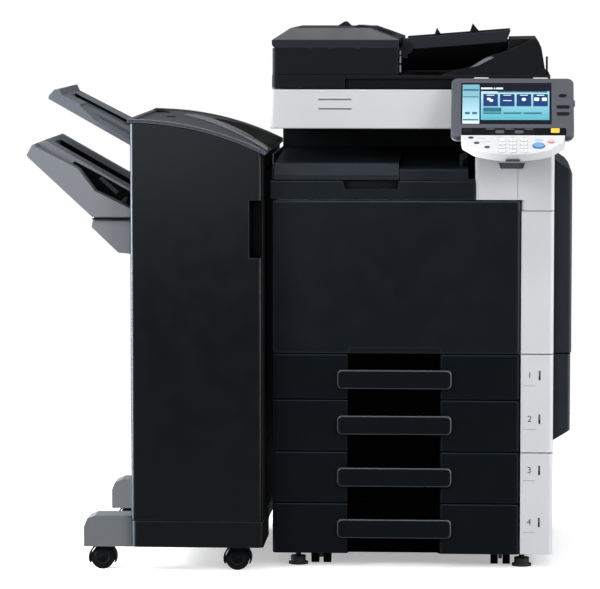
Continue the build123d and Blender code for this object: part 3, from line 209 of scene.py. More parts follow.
# ------------------------------------------------------------------ materials
def plastic(name, colour, roughness=0.4, grain=0.00003, wear_and_highlight=1.35, edge=0.0009, specular=0.22,
            gap_shade=0.2, fillets=False, left_only=False):
    """Moulded plastic: grain, faint flow marks, uneven sheen, edges painted lighter as wear and as a
    painted highlight, and painted shade that darkens colour and shine in gaps.

    With fillets, the rounded edges get the painted highlight as well as the sharp ones. With left_only,
    only those on the object's left do, as a painted highlight from the light on the left."""
    material, tree, shader = new_material(name)
    normal = soft_edges(tree, edge)
    flow = noise(tree, 5.0, 4.0, (1, 1, 0.5))
    body = mix(tree, ramp(tree, flow, 0, 1), scaled(colour, 0.97), scaled(colour, 1.03))
    edges = edge_mask(tree, normal)
    if fillets:
        rounded = fillet_mask(tree)
        # with left_only, the painted highlight stays on the left side, where the light falls
        if left_only:
            rounded = maths(tree, "MULTIPLY", rounded, facing_left(tree))
        edges = maths(tree, "MAXIMUM", edges, rounded)
    # edges painted lighter: a little wear, and mostly a painted highlight
    rubbed_and_highlit = mix(tree, edges, body, scaled(colour, wear_and_highlight))
    # painted shade: colour and shine darken deep in gaps
    clear = open_faces(tree)
    tree.links.new(mix(tree, clear, scaled(colour, gap_shade), rubbed_and_highlit), shader.inputs["Base Color"])
    handling = noise(tree, 22.0, 5.0)
    sheen = ramp(tree, handling, roughness - 0.02, roughness + 0.03, 0.3, 0.7)
    tree.links.new(sheen, shader.inputs["Roughness"])
    tree.links.new(ramp(tree, clear, specular * gap_shade, specular, 0, 1),
                   shader.inputs["Specular IOR Level"])
    relief(tree, shader, [(noise(tree, 1500.0, 2.0), grain)], normal)
    return material


RIM_HIGHLIGHT_TONE = (0.105, 0.112, 0.12)  # painted highlight on the rims of the drawer handles
HANDLE_ZONE = (-6, -3)  # Y of the proud handle from the drawer's face, in millimetres
CHANNEL_ZONE = (1, 9)  # Y of the channel behind it


def drawer_plastic(name, colour, face):
    """Plastic of the drawers: a painted highlight on the proud handle's rims, and painted shade
    that darkens the channel behind it.

    The face is the Y of the drawer's front, in millimetres."""
    material = plastic(name, colour, 0.34, wear_and_highlight=8.0, edge=0.0015, specular=0.16, fillets=True)
    tree = material.node_tree
    shader = tree.nodes["Principled BSDF"]
    depth = along(tree, (0, 1, 0))
    proud = ramp(tree, depth, 1, 0, *((face + y) * MM for y in HANDLE_ZONE))
    edges = maths(tree, "MAXIMUM", edge_mask(tree, soft_edges(tree, 0.003)), fillet_mask(tree))
    base = shader.inputs["Base Color"].links[0].from_socket
    # painted highlight on the rims of the proud handle
    with_rim_highlights = mix(tree, maths(tree, "MULTIPLY", proud, edges), base, RIM_HIGHLIGHT_TONE)
    # painted shade: the channel behind the handle is darkened in colour and shine
    channel_shade = ramp(tree, depth, 0, 1, *((face + y) * MM for y in CHANNEL_ZONE))
    tree.links.new(mix(tree, channel_shade, with_rim_highlights, scaled(colour, 0.08)), shader.inputs["Base Color"])
    shine = shader.inputs["Specular IOR Level"].links[0].from_socket
    tree.links.new(maths(tree, "MULTIPLY", shine, ramp(tree, channel_shade, 1, 0.06, 0, 1)),
                   shader.inputs["Specular IOR Level"])
    return material


def sheet_metal(name, colour, roughness=0.36):
    """Zinc-plated sheet with rolling streaks and spangle."""
    material, tree, shader = new_material(name)
    streaks = noise(tree, 320.0, 3.0, (1, 1, 0.06))
    spangle = noise(tree, 420.0, 1.0)
    tone = mix(tree, ramp(tree, streaks, 0, 1), scaled(colour, 0.96), colour)
    tree.links.new(mix(tree, ramp(tree, spangle, 0, 0.3), tone, scaled(colour, 1.08)),
                   shader.inputs["Base Color"])
    tree.links.new(ramp(tree, streaks, roughness, roughness + 0.06), shader.inputs["Roughness"])
    shader.inputs["Metallic"].default_value = 1.0
    relief(tree, shader, [(streaks, 0.000006)], soft_edges(tree, 0.0006))
    return material


def rubber(name, colour, roughness=0.72):
    """Matte rubber with scuffs and dust."""
    material, tree, shader = new_material(name)
    scuffs = noise(tree, 120.0, 6.0, (1, 1, 0.4))
    dust = ramp(tree, scuffs, 0, 0.7, 0.55, 0.8)
    tree.links.new(mix(tree, dust, colour, scaled(colour, 3.0)), shader.inputs["Base Color"])
    tree.links.new(ramp(tree, scuffs, roughness - 0.1, roughness + 0.12), shader.inputs["Roughness"])
    shader.inputs["Specular IOR Level"].default_value = 0.2
    relief(tree, shader, [(noise(tree, 1100.0, 3.0), 0.00008)], soft_edges(tree, 0.0008))
    return material


def clear_glass(name):
    """Scanner glass, faintly green, with cleaning smears."""
    material, tree, shader = new_material(name)
    smears = noise(tree, 9.0, 5.0, (1, 0.3, 1))
    tree.links.new(mix(tree, ramp(tree, smears, 0, 1), (0.72, 0.82, 0.8), (0.8, 0.88, 0.86)),
                   shader.inputs["Base Color"])
    tree.links.new(ramp(tree, smears, 0.02, 0.09), shader.inputs["Roughness"])
    shader.inputs["Transmission Weight"].default_value = 0.85
    shader.inputs["IOR"].default_value = 1.5
    return material


def lit_panel(name, top, bottom, z_range, strength):
    """A glowing panel whose colour runs from top to bottom, with a fine dark grain."""
    material, tree, shader = new_material(name)
    colour = mix(tree, ramp(tree, along(tree, (0, 0, 1)), 0, 1, *z_range), bottom, top)
    grain = ramp(tree, noise(tree, 2600.0, 0.0), 0, 0.12)
    picture = mix(tree, grain, colour, (0, 0, 0))
    tree.links.new(picture, shader.inputs["Base Color"])
    tree.links.new(picture, shader.inputs["Emission Color"])
    shader.inputs["Emission Strength"].default_value = strength
    shader.inputs["Roughness"].default_value = 0.22
    return material


def two_tone(name, front, back, frame_of_face, seam):
    """Plastic that is one colour near a plane and another colour deeper than the seam, in mm."""
    material = plastic(name, front, 0.42)
    tree = material.node_tree
    shader = tree.nodes["Principled BSDF"]
    normal = frame_of_face.to_3x3().normalized() @ Vector((0, 0, 1))
    level = frame_of_face.translation.dot(normal) - seam * MM
    is_front = ramp(tree, along(tree, normal), 0, 1, level - 0.0002, level + 0.0002)
    front_colour = shader.inputs["Base Color"].links[0].from_socket
    tree.links.new(mix(tree, is_front, back, front_colour), shader.inputs["Base Color"])
    return material


CHARCOAL = (0.0052, 0.0072, 0.0098)
WHITE = (0.56, 0.565, 0.58)

KEY_TILT = 24.0
PANEL_TILT = 49.0
SCREEN_PLACE = Vector((-13, 9, -0.9))  # middle of the screen's glass on the panel's face
panel_turn = Matrix.Rotation(radians(PANEL_TILT), 3, "X")
PANEL = place(middle("display_screen") - panel_turn @ SCREEN_PLACE, PANEL_TILT)
KEYS_PLACE = Vector((0, -49, -0.7))  # middle of the number keys on the keypad's face
key_turn = Matrix.Rotation(radians(KEY_TILT), 3, "X")
KEYPAD = place(middle("number_keys") - key_turn @ KEYS_PLACE, KEY_TILT)

paint = {
    "charcoal": plastic("charcoal_plastic", CHARCOAL, 0.34, wear_and_highlight=6.0, edge=0.0015, fillets=True),
    "door": plastic("door_plastic", scaled(CHARCOAL, 1.1), 0.3, wear_and_highlight=9.0, edge=0.003,
                    fillets=True),
    # near black for dark seams, and for pieces that paint the shade in recesses, troughs and the grip
    "void": plastic("seam_and_shade_black", (0.0008, 0.0009, 0.0012), 0.6, wear_and_highlight=1.5, specular=0.05),
    "top_slate": plastic("finisher_top_plastic", (0.038, 0.042, 0.05), 0.42, wear_and_highlight=7.0,
                         edge=0.003, specular=0.3),
    "bar": plastic("output_bar_plastic", scaled(CHARCOAL, 1.7), 0.32, wear_and_highlight=5.0, edge=0.002,
                   specular=0.3, fillets=True),
    # lighter than the top around it, as a painted highlight on the bands
    "ribbon": plastic("ribbon_highlight_plastic", (0.15, 0.158, 0.178), 0.42, wear_and_highlight=1.8, specular=0.3),
    "drawer": drawer_plastic("drawer_plastic", (0.0027, 0.0042, 0.0063), FACE_Y),
    # finisher door: painted highlight on its left rounded edge
    "finisher_door": plastic("finisher_door_plastic", scaled(CHARCOAL, 0.55), 0.3, grain=0.000004,
                             wear_and_highlight=18.0, edge=0.002, specular=0.26, fillets=True, left_only=True),
    "side_unit": plastic("side_unit_plastic", (0.018, 0.021, 0.027), 0.34, wear_and_highlight=1.8,
                         fillets=True),
    "black": plastic("black_plastic", (0.0024, 0.003, 0.0042), 0.5, wear_and_highlight=14.0, edge=0.0014,
                     specular=0.15),
    "feeder": plastic("feeder_plastic", (0.0085, 0.0105, 0.016), 0.42, wear_and_highlight=7.0, edge=0.0016),
    "slate": plastic("slate_plastic", (0.0075, 0.0095, 0.0125), 0.32, wear_and_highlight=2.4, specular=0.3),
    "white": plastic("white_plastic", WHITE, 0.42, wear_and_highlight=1.05, gap_shade=0.5),
    "scanner_white": plastic("scanner_white_plastic", (0.5, 0.5, 0.505), 0.42, wear_and_highlight=1.05,
                             gap_shade=0.6),
    "grey": plastic("tray_grey_plastic", (0.135, 0.145, 0.17), 0.45, gap_shade=0.5),
    "tray_light": plastic("light_tray_plastic", (0.185, 0.194, 0.212), 0.45, gap_shade=0.5),
    "leg_grey": plastic("leg_grey_plastic", (0.14, 0.15, 0.162), 0.5, gap_shade=0.5),
    "panel": two_tone("panel_plastic", (0.096, 0.1, 0.118), (0.6, 0.61, 0.63), PANEL, 15.0),
    "steel": sheet_metal("zinc_plated_sheet", (0.56, 0.57, 0.58)),
    "dark_steel": sheet_metal("dark_steel", (0.12, 0.12, 0.125), 0.4),
    "glass": clear_glass("scanner_glass"),
    "rubber": rubber("wheel_rubber", (0.003, 0.003, 0.004)),
    "key_white": plastic("key_white_plastic", (0.72, 0.73, 0.74), 0.35, wear_and_highlight=1.02, gap_shade=0.7),
    "key_blue": plastic("key_blue_plastic", (0.05, 0.19, 0.42), 0.25, wear_and_highlight=1.6),
    "key_red": plastic("key_pale_red_plastic", (0.62, 0.30, 0.32), 0.3, wear_and_highlight=1.1),
    "key_dark": plastic("key_dark_plastic", (0.010, 0.010, 0.014), 0.35, wear_and_highlight=5.0),
    "key_amber": plastic("key_amber_plastic", (0.85, 0.52, 0.09), 0.3, wear_and_highlight=1.1),
    "print_dark": plastic("printed_dark_ink", (0.05, 0.05, 0.06), 0.5),
    "print_blue": plastic("printed_blue_ink", (0.25, 0.52, 0.78), 0.5),
    "cartridge": plastic("cartridge_plastic", (0.05, 0.05, 0.056), 0.4),
    "foam_white": plastic("backing_plate_white", (0.78, 0.78, 0.76), 0.55, wear_and_highlight=1.0),
}
screen_range = [value * MM for value in span("display_screen")[2]]
for key, name, top, bottom, strength in (
        ("screen", "screen_ground", (0.012, 0.012, 0.022), (0.01, 0.012, 0.02), 0.2),
        ("lcd_pane", "lcd_pane", (0.40, 0.60, 0.70), (0.09, 0.35, 0.42), 0.24),
        ("lcd_side", "lcd_side_pane", (0.16, 0.36, 0.44), (0.42, 0.60, 0.68), 0.25),
        ("lcd_tile", "lcd_tile", (0.02, 0.04, 0.12), (0.015, 0.06, 0.2), 0.25),
        ("lcd_bar", "lcd_bar", (0.04, 0.15, 0.2), (0.03, 0.14, 0.19), 0.25),
        ("lcd_mark", "lcd_mark", (0.8, 0.86, 0.9), (0.75, 0.84, 0.9), 0.4)):
    paint[key] = lit_panel(name, top, bottom, screen_range, strength)

slot_paint = {"key_grey": "key_white"}  # slots whose paint has another name
node_paint = {
    "scanner_housing": "scanner_white",
    "adf_feed_cover": "feeder",
    "adf_lid": "black",
    "adf_input_tray": "feeder",
    "finisher_top_cover": "top_slate",
    "scanner_stand": "black",
    "relay_unit": "bar",
    "output_tray": "bar",
    "display_housing": "panel",
    "finisher_outriggers": "leg_grey",
    "front_door": "door",
    "right_door": "side_unit",
    "right_cover": "side_unit",
    "finisher_door": "finisher_door",
    "finisher_plinth": "finisher_door",
    "levelling_feet": "cartridge",
    "lower_exit_tray": "tray_light",
    "body_caster_forks": "dark_steel",
}
for hood in ("front_left", "front_right", "rear_left", "rear_right"):
    node_paint[hood + "_caster_hood"] = "black"
for number in range(1, 5):
    node_paint[f"drawer_{number}_front"] = "drawer"
for row in frame["record"]["subparts"]:
    cad_node = frame["nodes"][row["node"]]
    slot = row["material_slot"]
    chosen = paint[node_paint.get(row["node"], slot_paint.get(slot, slot))]
    for material_slot in cad_node.material_slots:
        material_slot.material = chosen


# ------------------------------------------------------------------ mesh building
def oblong(x0, x1, y0, y1, radius, steps=5):
    """A rectangle with rounded corners, as points."""
    points = []
    corners = ((x1 - radius, y1 - radius, 0), (x0 + radius, y1 - radius, 90),
               (x0 + radius, y0 + radius, 180), (x1 - radius, y0 + radius, 270))
    for x, y, start in corners:
        for step in range(steps + 1):
            turn = radians(start + 90 * step / steps)
            points.append((x + radius * cos(turn), y + radius * sin(turn)))
    return points


def oval(x, y, width, height, steps=28):
    """An ellipse as points."""
    return [(x + width / 2 * cos(2 * pi * step / steps), y + height / 2 * sin(2 * pi * step / steps))
            for step in range(steps)]


def add_prism(mesh, where, outline, z0, z1):
    """A straight-sided solid on an outline, from z0 to z1 of the local frame."""
    rings = [[mesh.verts.new(where @ Vector((x, y, z))) for x, y in outline] for z in (z0, z1)]
    count = len(outline)
    mesh.faces.new(rings[0][::-1])
    mesh.faces.new(rings[1])
    for i in range(count):
        j = (i + 1) % count
        mesh.faces.new((rings[0][i], rings[0][j], rings[1][j], rings[1][i]))


def add_box(mesh, where, x0, x1, y0, y1, z0, z1):
    """A block in the local frame."""
    add_prism(mesh, where, [(x0, y0), (x1, y0), (x1, y1), (x0, y1)], z0, z1)


def add_turned(mesh, where, profile, steps=40):
    """A solid turned about the local Z axis, from (radius, z) points that start and end on the axis."""
    rings = []
    for radius, z in profile:
        if radius == 0:
            rings.append([mesh.verts.new(where @ Vector((0, 0, z)))])
            continue
        rings.append([mesh.verts.new(where @ Vector((radius * cos(2 * pi * s / steps),
                                                     radius * sin(2 * pi * s / steps), z)))
                      for s in range(steps)])
    for lower, upper in zip(rings, rings[1:]):
        for s in range(steps):
            t = (s + 1) % steps
            if len(lower) == 1:
                mesh.faces.new((lower[0], upper[t], upper[s]))
            elif len(upper) == 1:
                mesh.faces.new((lower[s], lower[t], upper[0]))
            else:
                mesh.faces.new((lower[s], lower[t], upper[t], upper[s]))


def piece(name, body, colour, draw, bevel=0.0, smooth=True):
    """Draws one named piece, smooths it, paints it and lets it ride on a CAD body."""
    mesh = bmesh.new()
    draw(mesh)
    bmesh.ops.remove_doubles(mesh, verts=mesh.verts, dist=1e-7)
    bmesh.ops.recalc_face_normals(mesh, faces=mesh.faces)
    data = bpy.data.meshes.new(name)
    mesh.to_mesh(data)
    mesh.free()
    made = bpy.data.objects.new(name, data)
    scene.collection.objects.link(made)
    made.data.materials.append(paint[colour])
    if bevel:
        rounding = made.modifiers.new("rounding", "BEVEL")
        rounding.width = bevel * MM
        rounding.segments = 2
        rounding.limit_method = "ANGLE"
        rounding.angle_limit = radians(40)
    if smooth:
        for polygon in data.polygons:
            polygon.use_smooth = True
        data.set_sharp_from_angle(angle=radians(35))
    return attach(made, body)


def lettering(name, body, colour, marks, where, size):
    """Raised numbers, given as (text, x, y) on a local frame."""
    mesh = bmesh.new()
    for text, x, y in marks:
        curve = bpy.data.curves.new("mark", "FONT")
        curve.body = text
        curve.size = size
        curve.extrude = 0.08
        curve.align_x = "CENTER"
        curve.align_y = "CENTER"
        holder = bpy.data.objects.new("mark", curve)
        scene.collection.objects.link(holder)
        outline = bpy.data.meshes.new_from_object(holder)
        outline.transform(where @ Matrix.Translation((x, y, 0)))
        mesh.from_mesh(outline)
        bpy.data.objects.remove(holder)
    data = bpy.data.meshes.new(name)
    bmesh.ops.remove_doubles(mesh, verts=mesh.verts, dist=1e-6)
    mesh.to_mesh(data)
    mesh.free()
    made = bpy.data.objects.new(name, data)
    scene.collection.objects.link(made)
    made.data.materials.append(paint[colour])
    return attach(made, body)


# ------------------------------------------------------------------ display picture and keys
# The picture is thin layers on the screen's glass: panes, then tiles and bars, then marks.
SCREEN_TOP = -0.2  # face of the screen's glass on the panel frame
LAYER = 0.1
PANE_LAYER = (SCREEN_TOP, SCREEN_TOP + LAYER)
TILE_LAYER = (SCREEN_TOP + LAYER, SCREEN_TOP + 2 * LAYER)
MARK_LAYER = (SCREEN_TOP + 2 * LAYER, SCREEN_TOP + 3 * LAYER)
PANE_LEFT, PANE_TOP = -66, 42
TILE_LEFT, TILE_STEP, TILE_WIDTH = -61, 34.8, 30.5
TILE_MIDDLES = [TILE_LEFT + TILE_STEP * column + 15.2 for column in range(4)]
SIDE_BAR = (-103, -71)  # left and right end of the bars in the side pane


def draw_panes(mesh):
    """Main pane, under the tiles."""
    add_prism(mesh, PANEL, oblong(PANE_LEFT, 77, -35, PANE_TOP, 1), *PANE_LAYER)


def draw_side_pane(mesh):
    """Narrow pane on the left."""
    add_prism(mesh, PANEL, oblong(-104.5, -69, -45, 60, 1), *PANE_LAYER)


def draw_tiles(mesh):
    """Four square tiles in a row."""
    for column in range(4):
        x = TILE_LEFT + TILE_STEP * column
        add_prism(mesh, PANEL, oblong(x, x + TILE_WIDTH, 1.5, 34.5, 1), *TILE_LAYER)


def draw_bars(mesh):
    """Resting tabs over the tiles, fields under them and bars in the side pane."""
    for column in range(1, 4):
        x = PANE_LEFT + TILE_STEP * column
        add_box(mesh, PANEL, x, x + 34, 38.5, PANE_TOP, *TILE_LAYER)
    add_prism(mesh, PANEL, oblong(TILE_LEFT, -23, -13, -2, 1), *TILE_LAYER)
    for column in range(3):
        x = TILE_LEFT + 42 * column
        add_box(mesh, PANEL, x, x + 38, -19, -15, *TILE_LAYER)
    for y0, y1 in ((43, 48), (25.5, 28), (-36.5, -33)):
        add_box(mesh, PANEL, *SIDE_BAR, y0, y1, *TILE_LAYER)
    for x in (-99, -84):
        add_box(mesh, PANEL, x, x + 10, -20, -14, *TILE_LAYER)


def draw_marks(mesh):
    """A plain title and sign on each tile, and plain bars for the headings."""
    for x in TILE_MIDDLES:
        add_box(mesh, PANEL, x - 8, x + 8, 30.5, 32, *MARK_LAYER)
    sheets, rule, lens, pages = TILE_MIDDLES
    for dx, y in ((-4, 21), (1, 17)):
        add_prism(mesh, PANEL, oblong(sheets + dx - 3, sheets + dx + 4, y - 3, y + 3, 0.6), *MARK_LAYER)
    add_box(mesh, PANEL, rule - 9, rule + 9, 16, 17.5, *MARK_LAYER)
    add_prism(mesh, PANEL, oval(lens, 20, 9, 8), *MARK_LAYER)
    for x in (pages - 8, pages + 8):
        add_prism(mesh, PANEL, oblong(x - 5, x + 5, 16, 25, 2), *MARK_LAYER)
    for x0, x1 in ((PANE_LEFT, -42), (-39, -36), (-34, -20)):
        add_box(mesh, PANEL, x0, x1, 47.5, 51.5, *MARK_LAYER)
    add_box(mesh, PANEL, *SIDE_BAR, -44, -39, *MARK_LAYER)


piece("lcd_main_pane", "display", "lcd_pane", draw_panes)
piece("lcd_side_pane", "display", "lcd_side", draw_side_pane)
piece("lcd_tiles", "display", "lcd_tile", draw_tiles)
piece("lcd_bars", "display", "lcd_bar", draw_bars)
piece("lcd_marks", "display", "lcd_mark", draw_marks)


ROOT = -0.5  # how far the small pieces on the panel and the keypad reach into them


def draw_panel_keys(mesh):
    """Keys on the display's right border and along its lower edge."""
    add_prism(mesh, PANEL, oval(105, 30, 17, 9), ROOT, 1.4)
    for y0, y1 in ((-4.5, 4), (-23, -14.5)):
        add_prism(mesh, PANEL, oblong(92, 119, y0, y1, 3.5), ROOT, 1.2)
    add_prism(mesh, PANEL, oblong(-101, -84, -70, -60, 2), ROOT, 1.2)
    add_prism(mesh, PANEL, oblong(-47, 46, -75, -58, 2), ROOT, 0.5)


def draw_panel_band(mesh):
    """Dark band along the display's lower edge."""
    add_prism(mesh, PANEL, oblong(-106, 112, -76, -56.5, 3), ROOT, 0.25)


def draw_panel_tabs(mesh):
    """Two rows of tabs on the raised strip in the middle of the band."""
    for x in (-46, -6, 34):
        add_prism(mesh, PANEL, oblong(x - 9, x + 9, -61.5, -58.5, 0.8), 0.5, 1.0)
    for x in (-26, 14):
        add_prism(mesh, PANEL, oblong(x - 9, x + 9, -72, -64, 2), 0.5, 1.6)


def draw_amber_key(mesh):
    """Amber key at the band's right end."""
    add_prism(mesh, PANEL, oblong(80, 98, -70, -58, 1.2), ROOT, 1.4)


def draw_hooks(mesh):
    """Light hooks of the rear shell that show over the top edge."""
    for x0, x1 in ((-81, -50), (43, 74)):
        add_prism(mesh, PANEL, oblong(x0, x1, 70, 84.5, 1.5), -17, -6)


piece("display_lower_band", "display", "black", draw_panel_band)
piece("display_keys", "display", "key_dark", draw_panel_keys, bevel=0.4)
piece("display_lower_keys", "display", "panel", draw_panel_tabs, bevel=0.2)
piece("display_amber_key", "display", "key_amber", draw_amber_key, bevel=0.4)
piece("display_hooks", "display", "white", draw_hooks, bevel=0.6)

# ------------------------------------------------------------------ keypad
INK = 0.08  # thickness of print
NUMBER_STEP_X, NUMBER_ROWS = 22.6, (-24, -41, -58, -74)
KEY_TOP = 2.0  # height of the number keys' caps on the keypad's face


def draw_function_keys(mesh):
    """Oval keys on the left of the numbers."""
    for x, y in ((-87, -12), (-75, -36), (-53, -55)):
        add_prism(mesh, KEYPAD, oval(x, y, 11, 8), ROOT, 1.6)


def draw_print(mesh):
    """Fine printed rules on the keypad."""
    for x, y, width in ((-66, -14, 18), (-58, -30, 24), (-30, -9, 10), (0, -9, 10), (24, -9, 10)):
        add_box(mesh, KEYPAD, x - width / 2, x + width / 2, y - 0.3, y + 0.3, 0, INK)


def draw_start_lamp(mesh):
    """Lamp over the start key."""
    add_prism(mesh, KEYPAD, oblong(45, 61, -24, -17, 2), -0.3, 0.4)


piece("function_keys", "root", "key_dark", draw_function_keys, bevel=0.5)
piece("keypad_rules", "root", "print_dark", draw_print)
piece("start_lamp", "root", "print_blue", draw_start_lamp, bevel=0.15)
digits = [(mark, (i % 3 - 1) * NUMBER_STEP_X, NUMBER_ROWS[i // 3])
          for i, mark in enumerate("123456789*0#")]
lettering("key_numbers", "number_keys", "print_dark", digits,
          KEYPAD @ Matrix.Translation((0, 0, KEY_TOP)), 7.5)

# ------------------------------------------------------------------ front
FRONT = place((0, FACE_Y, 0), 90)  # X to the right, local Y up, local Z towards the user
GAUGE_X, GAUGE_Z = 512.0, (416.5, 323.0, 213.0, 101.0)  # middles of the paper level windows
NUMBER_X = 491.0  # middle of the drawer numbers


def draw_gauges(mesh):
    """Dark windows that show how much paper is left."""
    for z in GAUGE_Z:
        add_box(mesh, FRONT, GAUGE_X - 1.9, GAUGE_X + 1.9, z - 9.8, z + 9.8, -2.9, -1.2)


def draw_gauge_needles(mesh):
    """Light needles in the windows, near the top."""
    for z in GAUGE_Z:
        add_box(mesh, FRONT, GAUGE_X - 1.2, GAUGE_X + 1.2, z - 1, z + 8, -1.2, -0.7)


def draw_number_rules(mesh):
    """Fine printed rule under each drawer number."""
    for z in GAUGE_Z:
        add_box(mesh, FRONT, NUMBER_X - 13, NUMBER_X + 13, z - 22.5, z - 21.7, 0, INK)


piece("level_windows", "root", "key_dark", draw_gauges)
piece("number_rules", "root", "leg_grey", draw_number_rules)
piece("level_needles", "root", "leg_grey", draw_gauge_needles)
lettering("drawer_numbers", "root", "print_dark",
          [(str(i + 1), NUMBER_X, z) for i, z in enumerate(GAUGE_Z)], FRONT, 19)


def draw_column_grip(mesh):
    """Back of the finger recess under the keypad, wide at the top and rounded below."""
    middle_x = 450.5
    half = [(16.5, 857.2), (22.5, 859), (26, 863), (27.3, 868.8)]  # distance from the middle, and Z
    outline = [(middle_x + x, z) for x, z in half]
    mirrored = [(middle_x - x, z) for x, z in half[::-1]]
    add_prism(mesh, FRONT, mirrored + outline, -7.8, -4.5)


LIP_SLOT_Z = 885.5


def draw_lip_slot(mesh):
    """Dark slot in the keypad's front lip."""
    (x0, x1), (y0, _), _ = span("keypad_housing")
    lip = place(((x0 + x1) / 2, y0, LIP_SLOT_Z), 90)
    add_prism(mesh, lip, oblong(-15, 15, -2.4, 2.4, 1.2), -4, 0)


piece("column_grip", "root", "leg_grey", draw_column_grip, bevel=0.5)
piece("keypad_lip_slot", "root", "print_dark", draw_lip_slot)


def draw_scanner_slots(mesh):
    """Light bars in the two slots on the scanner's front."""
    front = place((0, span("scanner_housing")[1][0], 0), 90)
    for z in (983, 1003):
        add_prism(mesh, front, oblong(41.2, 110.8, z - 1.4, z + 1.4, 0.6), -1.9, -0.6)


piece("scanner_lamps", "root", "leg_grey", draw_scanner_slots)

# ------------------------------------------------------------------ finisher
SHADE_SHEET = 1.0  # thickness of the dark sheets that paint the shade in the exit trays' troughs
UPPER_TIP_X, UPPER_ROOT_X = -508.7, -356.0  # ends of the upper tray's painted shadow strip
LOWER_TIP_X, LOWER_ROOT_X = -537.7, -361.0  # ends of the lower tray's dark sheets of painted shade
UPPER_FAR_WALL = 210.0  # far wall of the upper tray's trough, from the tray's front edge
LOWER_TROUGH = (130.0, 240.0)  # near and far wall of the lower tray's trough
LOWER_STEP = 50.0  # depth of the cutaway in the lower tray's front wall


def draw_upper_shadow_strip(mesh):
    """Painted shadow: a dark strip under the far rim of the upper tray's trough."""
    wall = place((0, span("upper_exit_tray")[1][0] + UPPER_FAR_WALL - SHADE_SHEET, 0), 90)
    add_prism(mesh, wall, [(UPPER_TIP_X, 1000.5), (UPPER_ROOT_X, 921.5), (UPPER_ROOT_X, 928),
                           (UPPER_TIP_X, 1006)], -0.8, 0)


def draw_lower_shade_sheet(mesh):
    """Painted shade: dark sheets on the lower trough's sloping floor and walls, and on the cutaway's
    wall.
    """
    y0 = span("lower_exit_tray")[1][0]
    near, far = y0 + LOWER_TROUGH[0] + 0.2, y0 + LOWER_TROUGH[1] - 0.2
    tip_z, root_z = 894.2, 793.6
    slope = [(LOWER_TIP_X, tip_z), (LOWER_ROOT_X, root_z)]
    add_prism(mesh, place((0, near, 0), 90),
              slope + [(LOWER_ROOT_X, root_z + SHADE_SHEET), (LOWER_TIP_X, tip_z + SHADE_SHEET)], near - far, 0)
    for y in (near, far - SHADE_SHEET):
        add_prism(mesh, place((0, y, 0), 90), slope + [(LOWER_ROOT_X, 806), (LOWER_TIP_X, 906.5)],
                  -SHADE_SHEET, 0)
    cutaway = place((0, y0 + LOWER_STEP, 0), 90)
    add_prism(mesh, cutaway, [(-489, 864), (-477.6, 858.2), (-470.4, 852.6), (-436, 807.3),
                              (LOWER_ROOT_X, 770.5), (LOWER_ROOT_X, 801), (-436, 843), (-484, 868)],
              -0.4, 0.6)


def draw_lower_guide(mesh):
    """Sloping guide and stop in the dark cutaway of the lower tray."""
    cutaway = place((0, span("lower_exit_tray")[1][0] + LOWER_STEP, 0), 90)
    add_prism(mesh, cutaway, [(-433, 831), (-425, 836), (-388, 803), (-396, 797)], 0.3, 3)
    add_prism(mesh, cutaway, [(-396, 775.5), (-376, 792), (-370, 792), (-374, 777)], 0.3, 3)


def draw_tray_seam(mesh):
    """Dark seam between the lower tray and the bracket under it."""
    front = place((0, span("lower_exit_tray")[1][0], 0), 90)
    add_box(mesh, front, -442, LOWER_ROOT_X, 746.5, 749.5, -1, 0.3)


piece("upper_tray_shadow_strip", "root", "void", draw_upper_shadow_strip)
piece("lower_tray_shade_sheet", "lower_exit_tray", "void", draw_lower_shade_sheet)
piece("lower_tray_guide", "lower_exit_tray", "slate", draw_lower_guide, bevel=0.4)
piece("lower_tray_seam", "lower_exit_tray", "void", draw_tray_seam)

GRIP_WIDTH, GRIP_Z = 26, (672, 792)  # cutout at the door's right edge


def draw_finisher_grip(mesh):
    """Back and inner side of the grip at the door's right edge, painted near black as the grip's shade.
    """
    x0 = span("finisher_door")[0][1] - GRIP_WIDTH
    front = place((0, span("finisher_door")[1][0], 0), 90)
    low, high = GRIP_Z
    add_prism(mesh, front, oblong(x0 + 0.5, x0 + 25, low - 0.5, high + 0.5, 6), -23.5, -21)
    add_prism(mesh, front, oblong(x0 + 0.5, x0 + 2.5, low, high, 0.9), -22, -3)


piece("finisher_grip_cup", "finisher_door", "void", draw_finisher_grip)


RIM_CURVE, TOP_CURVE = 650.0, 645.0  # radii of the arched top's rims and of the surface between them
TOP_X, _, TOP_CROWN = span("finisher_top_cover")


def arch_height(x):
    """Height of the arched top between its rims at x."""
    centre = TOP_CROWN[1] - RIM_CURVE
    return centre + (TOP_CURVE**2 - (x - TOP_X[0] - 2) ** 2) ** 0.5


def add_arched_patch(mesh, x0, x1, near, far, low, high, steps=16):
    """A solid over the arched top from x0 to x1, between two curves y = near(t) and y = far(t)."""
    rings = []
    for step in range(steps + 1):
        t = step / steps
        x = x0 + (x1 - x0) * t
        z = arch_height(x)
        corners = ((near(t), z + low), (far(t), z + low), (far(t), z + high), (near(t), z + high))
        rings.append([mesh.verts.new(ROW @ Vector((x, y, height))) for y, height in corners])
    for first, second in zip(rings, rings[1:]):
        for i in range(4):
            j = (i + 1) % 4
            mesh.faces.new((first[i], first[j], second[j], second[i]))
    mesh.faces.new(rings[0][::-1])
    mesh.faces.new(rings[-1])


def draw_top_ribbon(mesh):
    """The raised bands that sweep over the top, on both sides of the dark recess, painted lighter as a
    painted highlight.
    """
    add_arched_patch(mesh, -272, TOP_X[1] - 1, lambda t: FACE_Y + 330 - 345 * t**1.15,
                     lambda t: FACE_Y + 385 - 330 * t**1.15, -0.5, 4.2)
    add_arched_patch(mesh, -262, -112, lambda t: FACE_Y + 392 - 215 * t,
                     lambda t: FACE_Y + 440 - 238 * t + 26 * sin(pi * t), -0.5, 3.2)


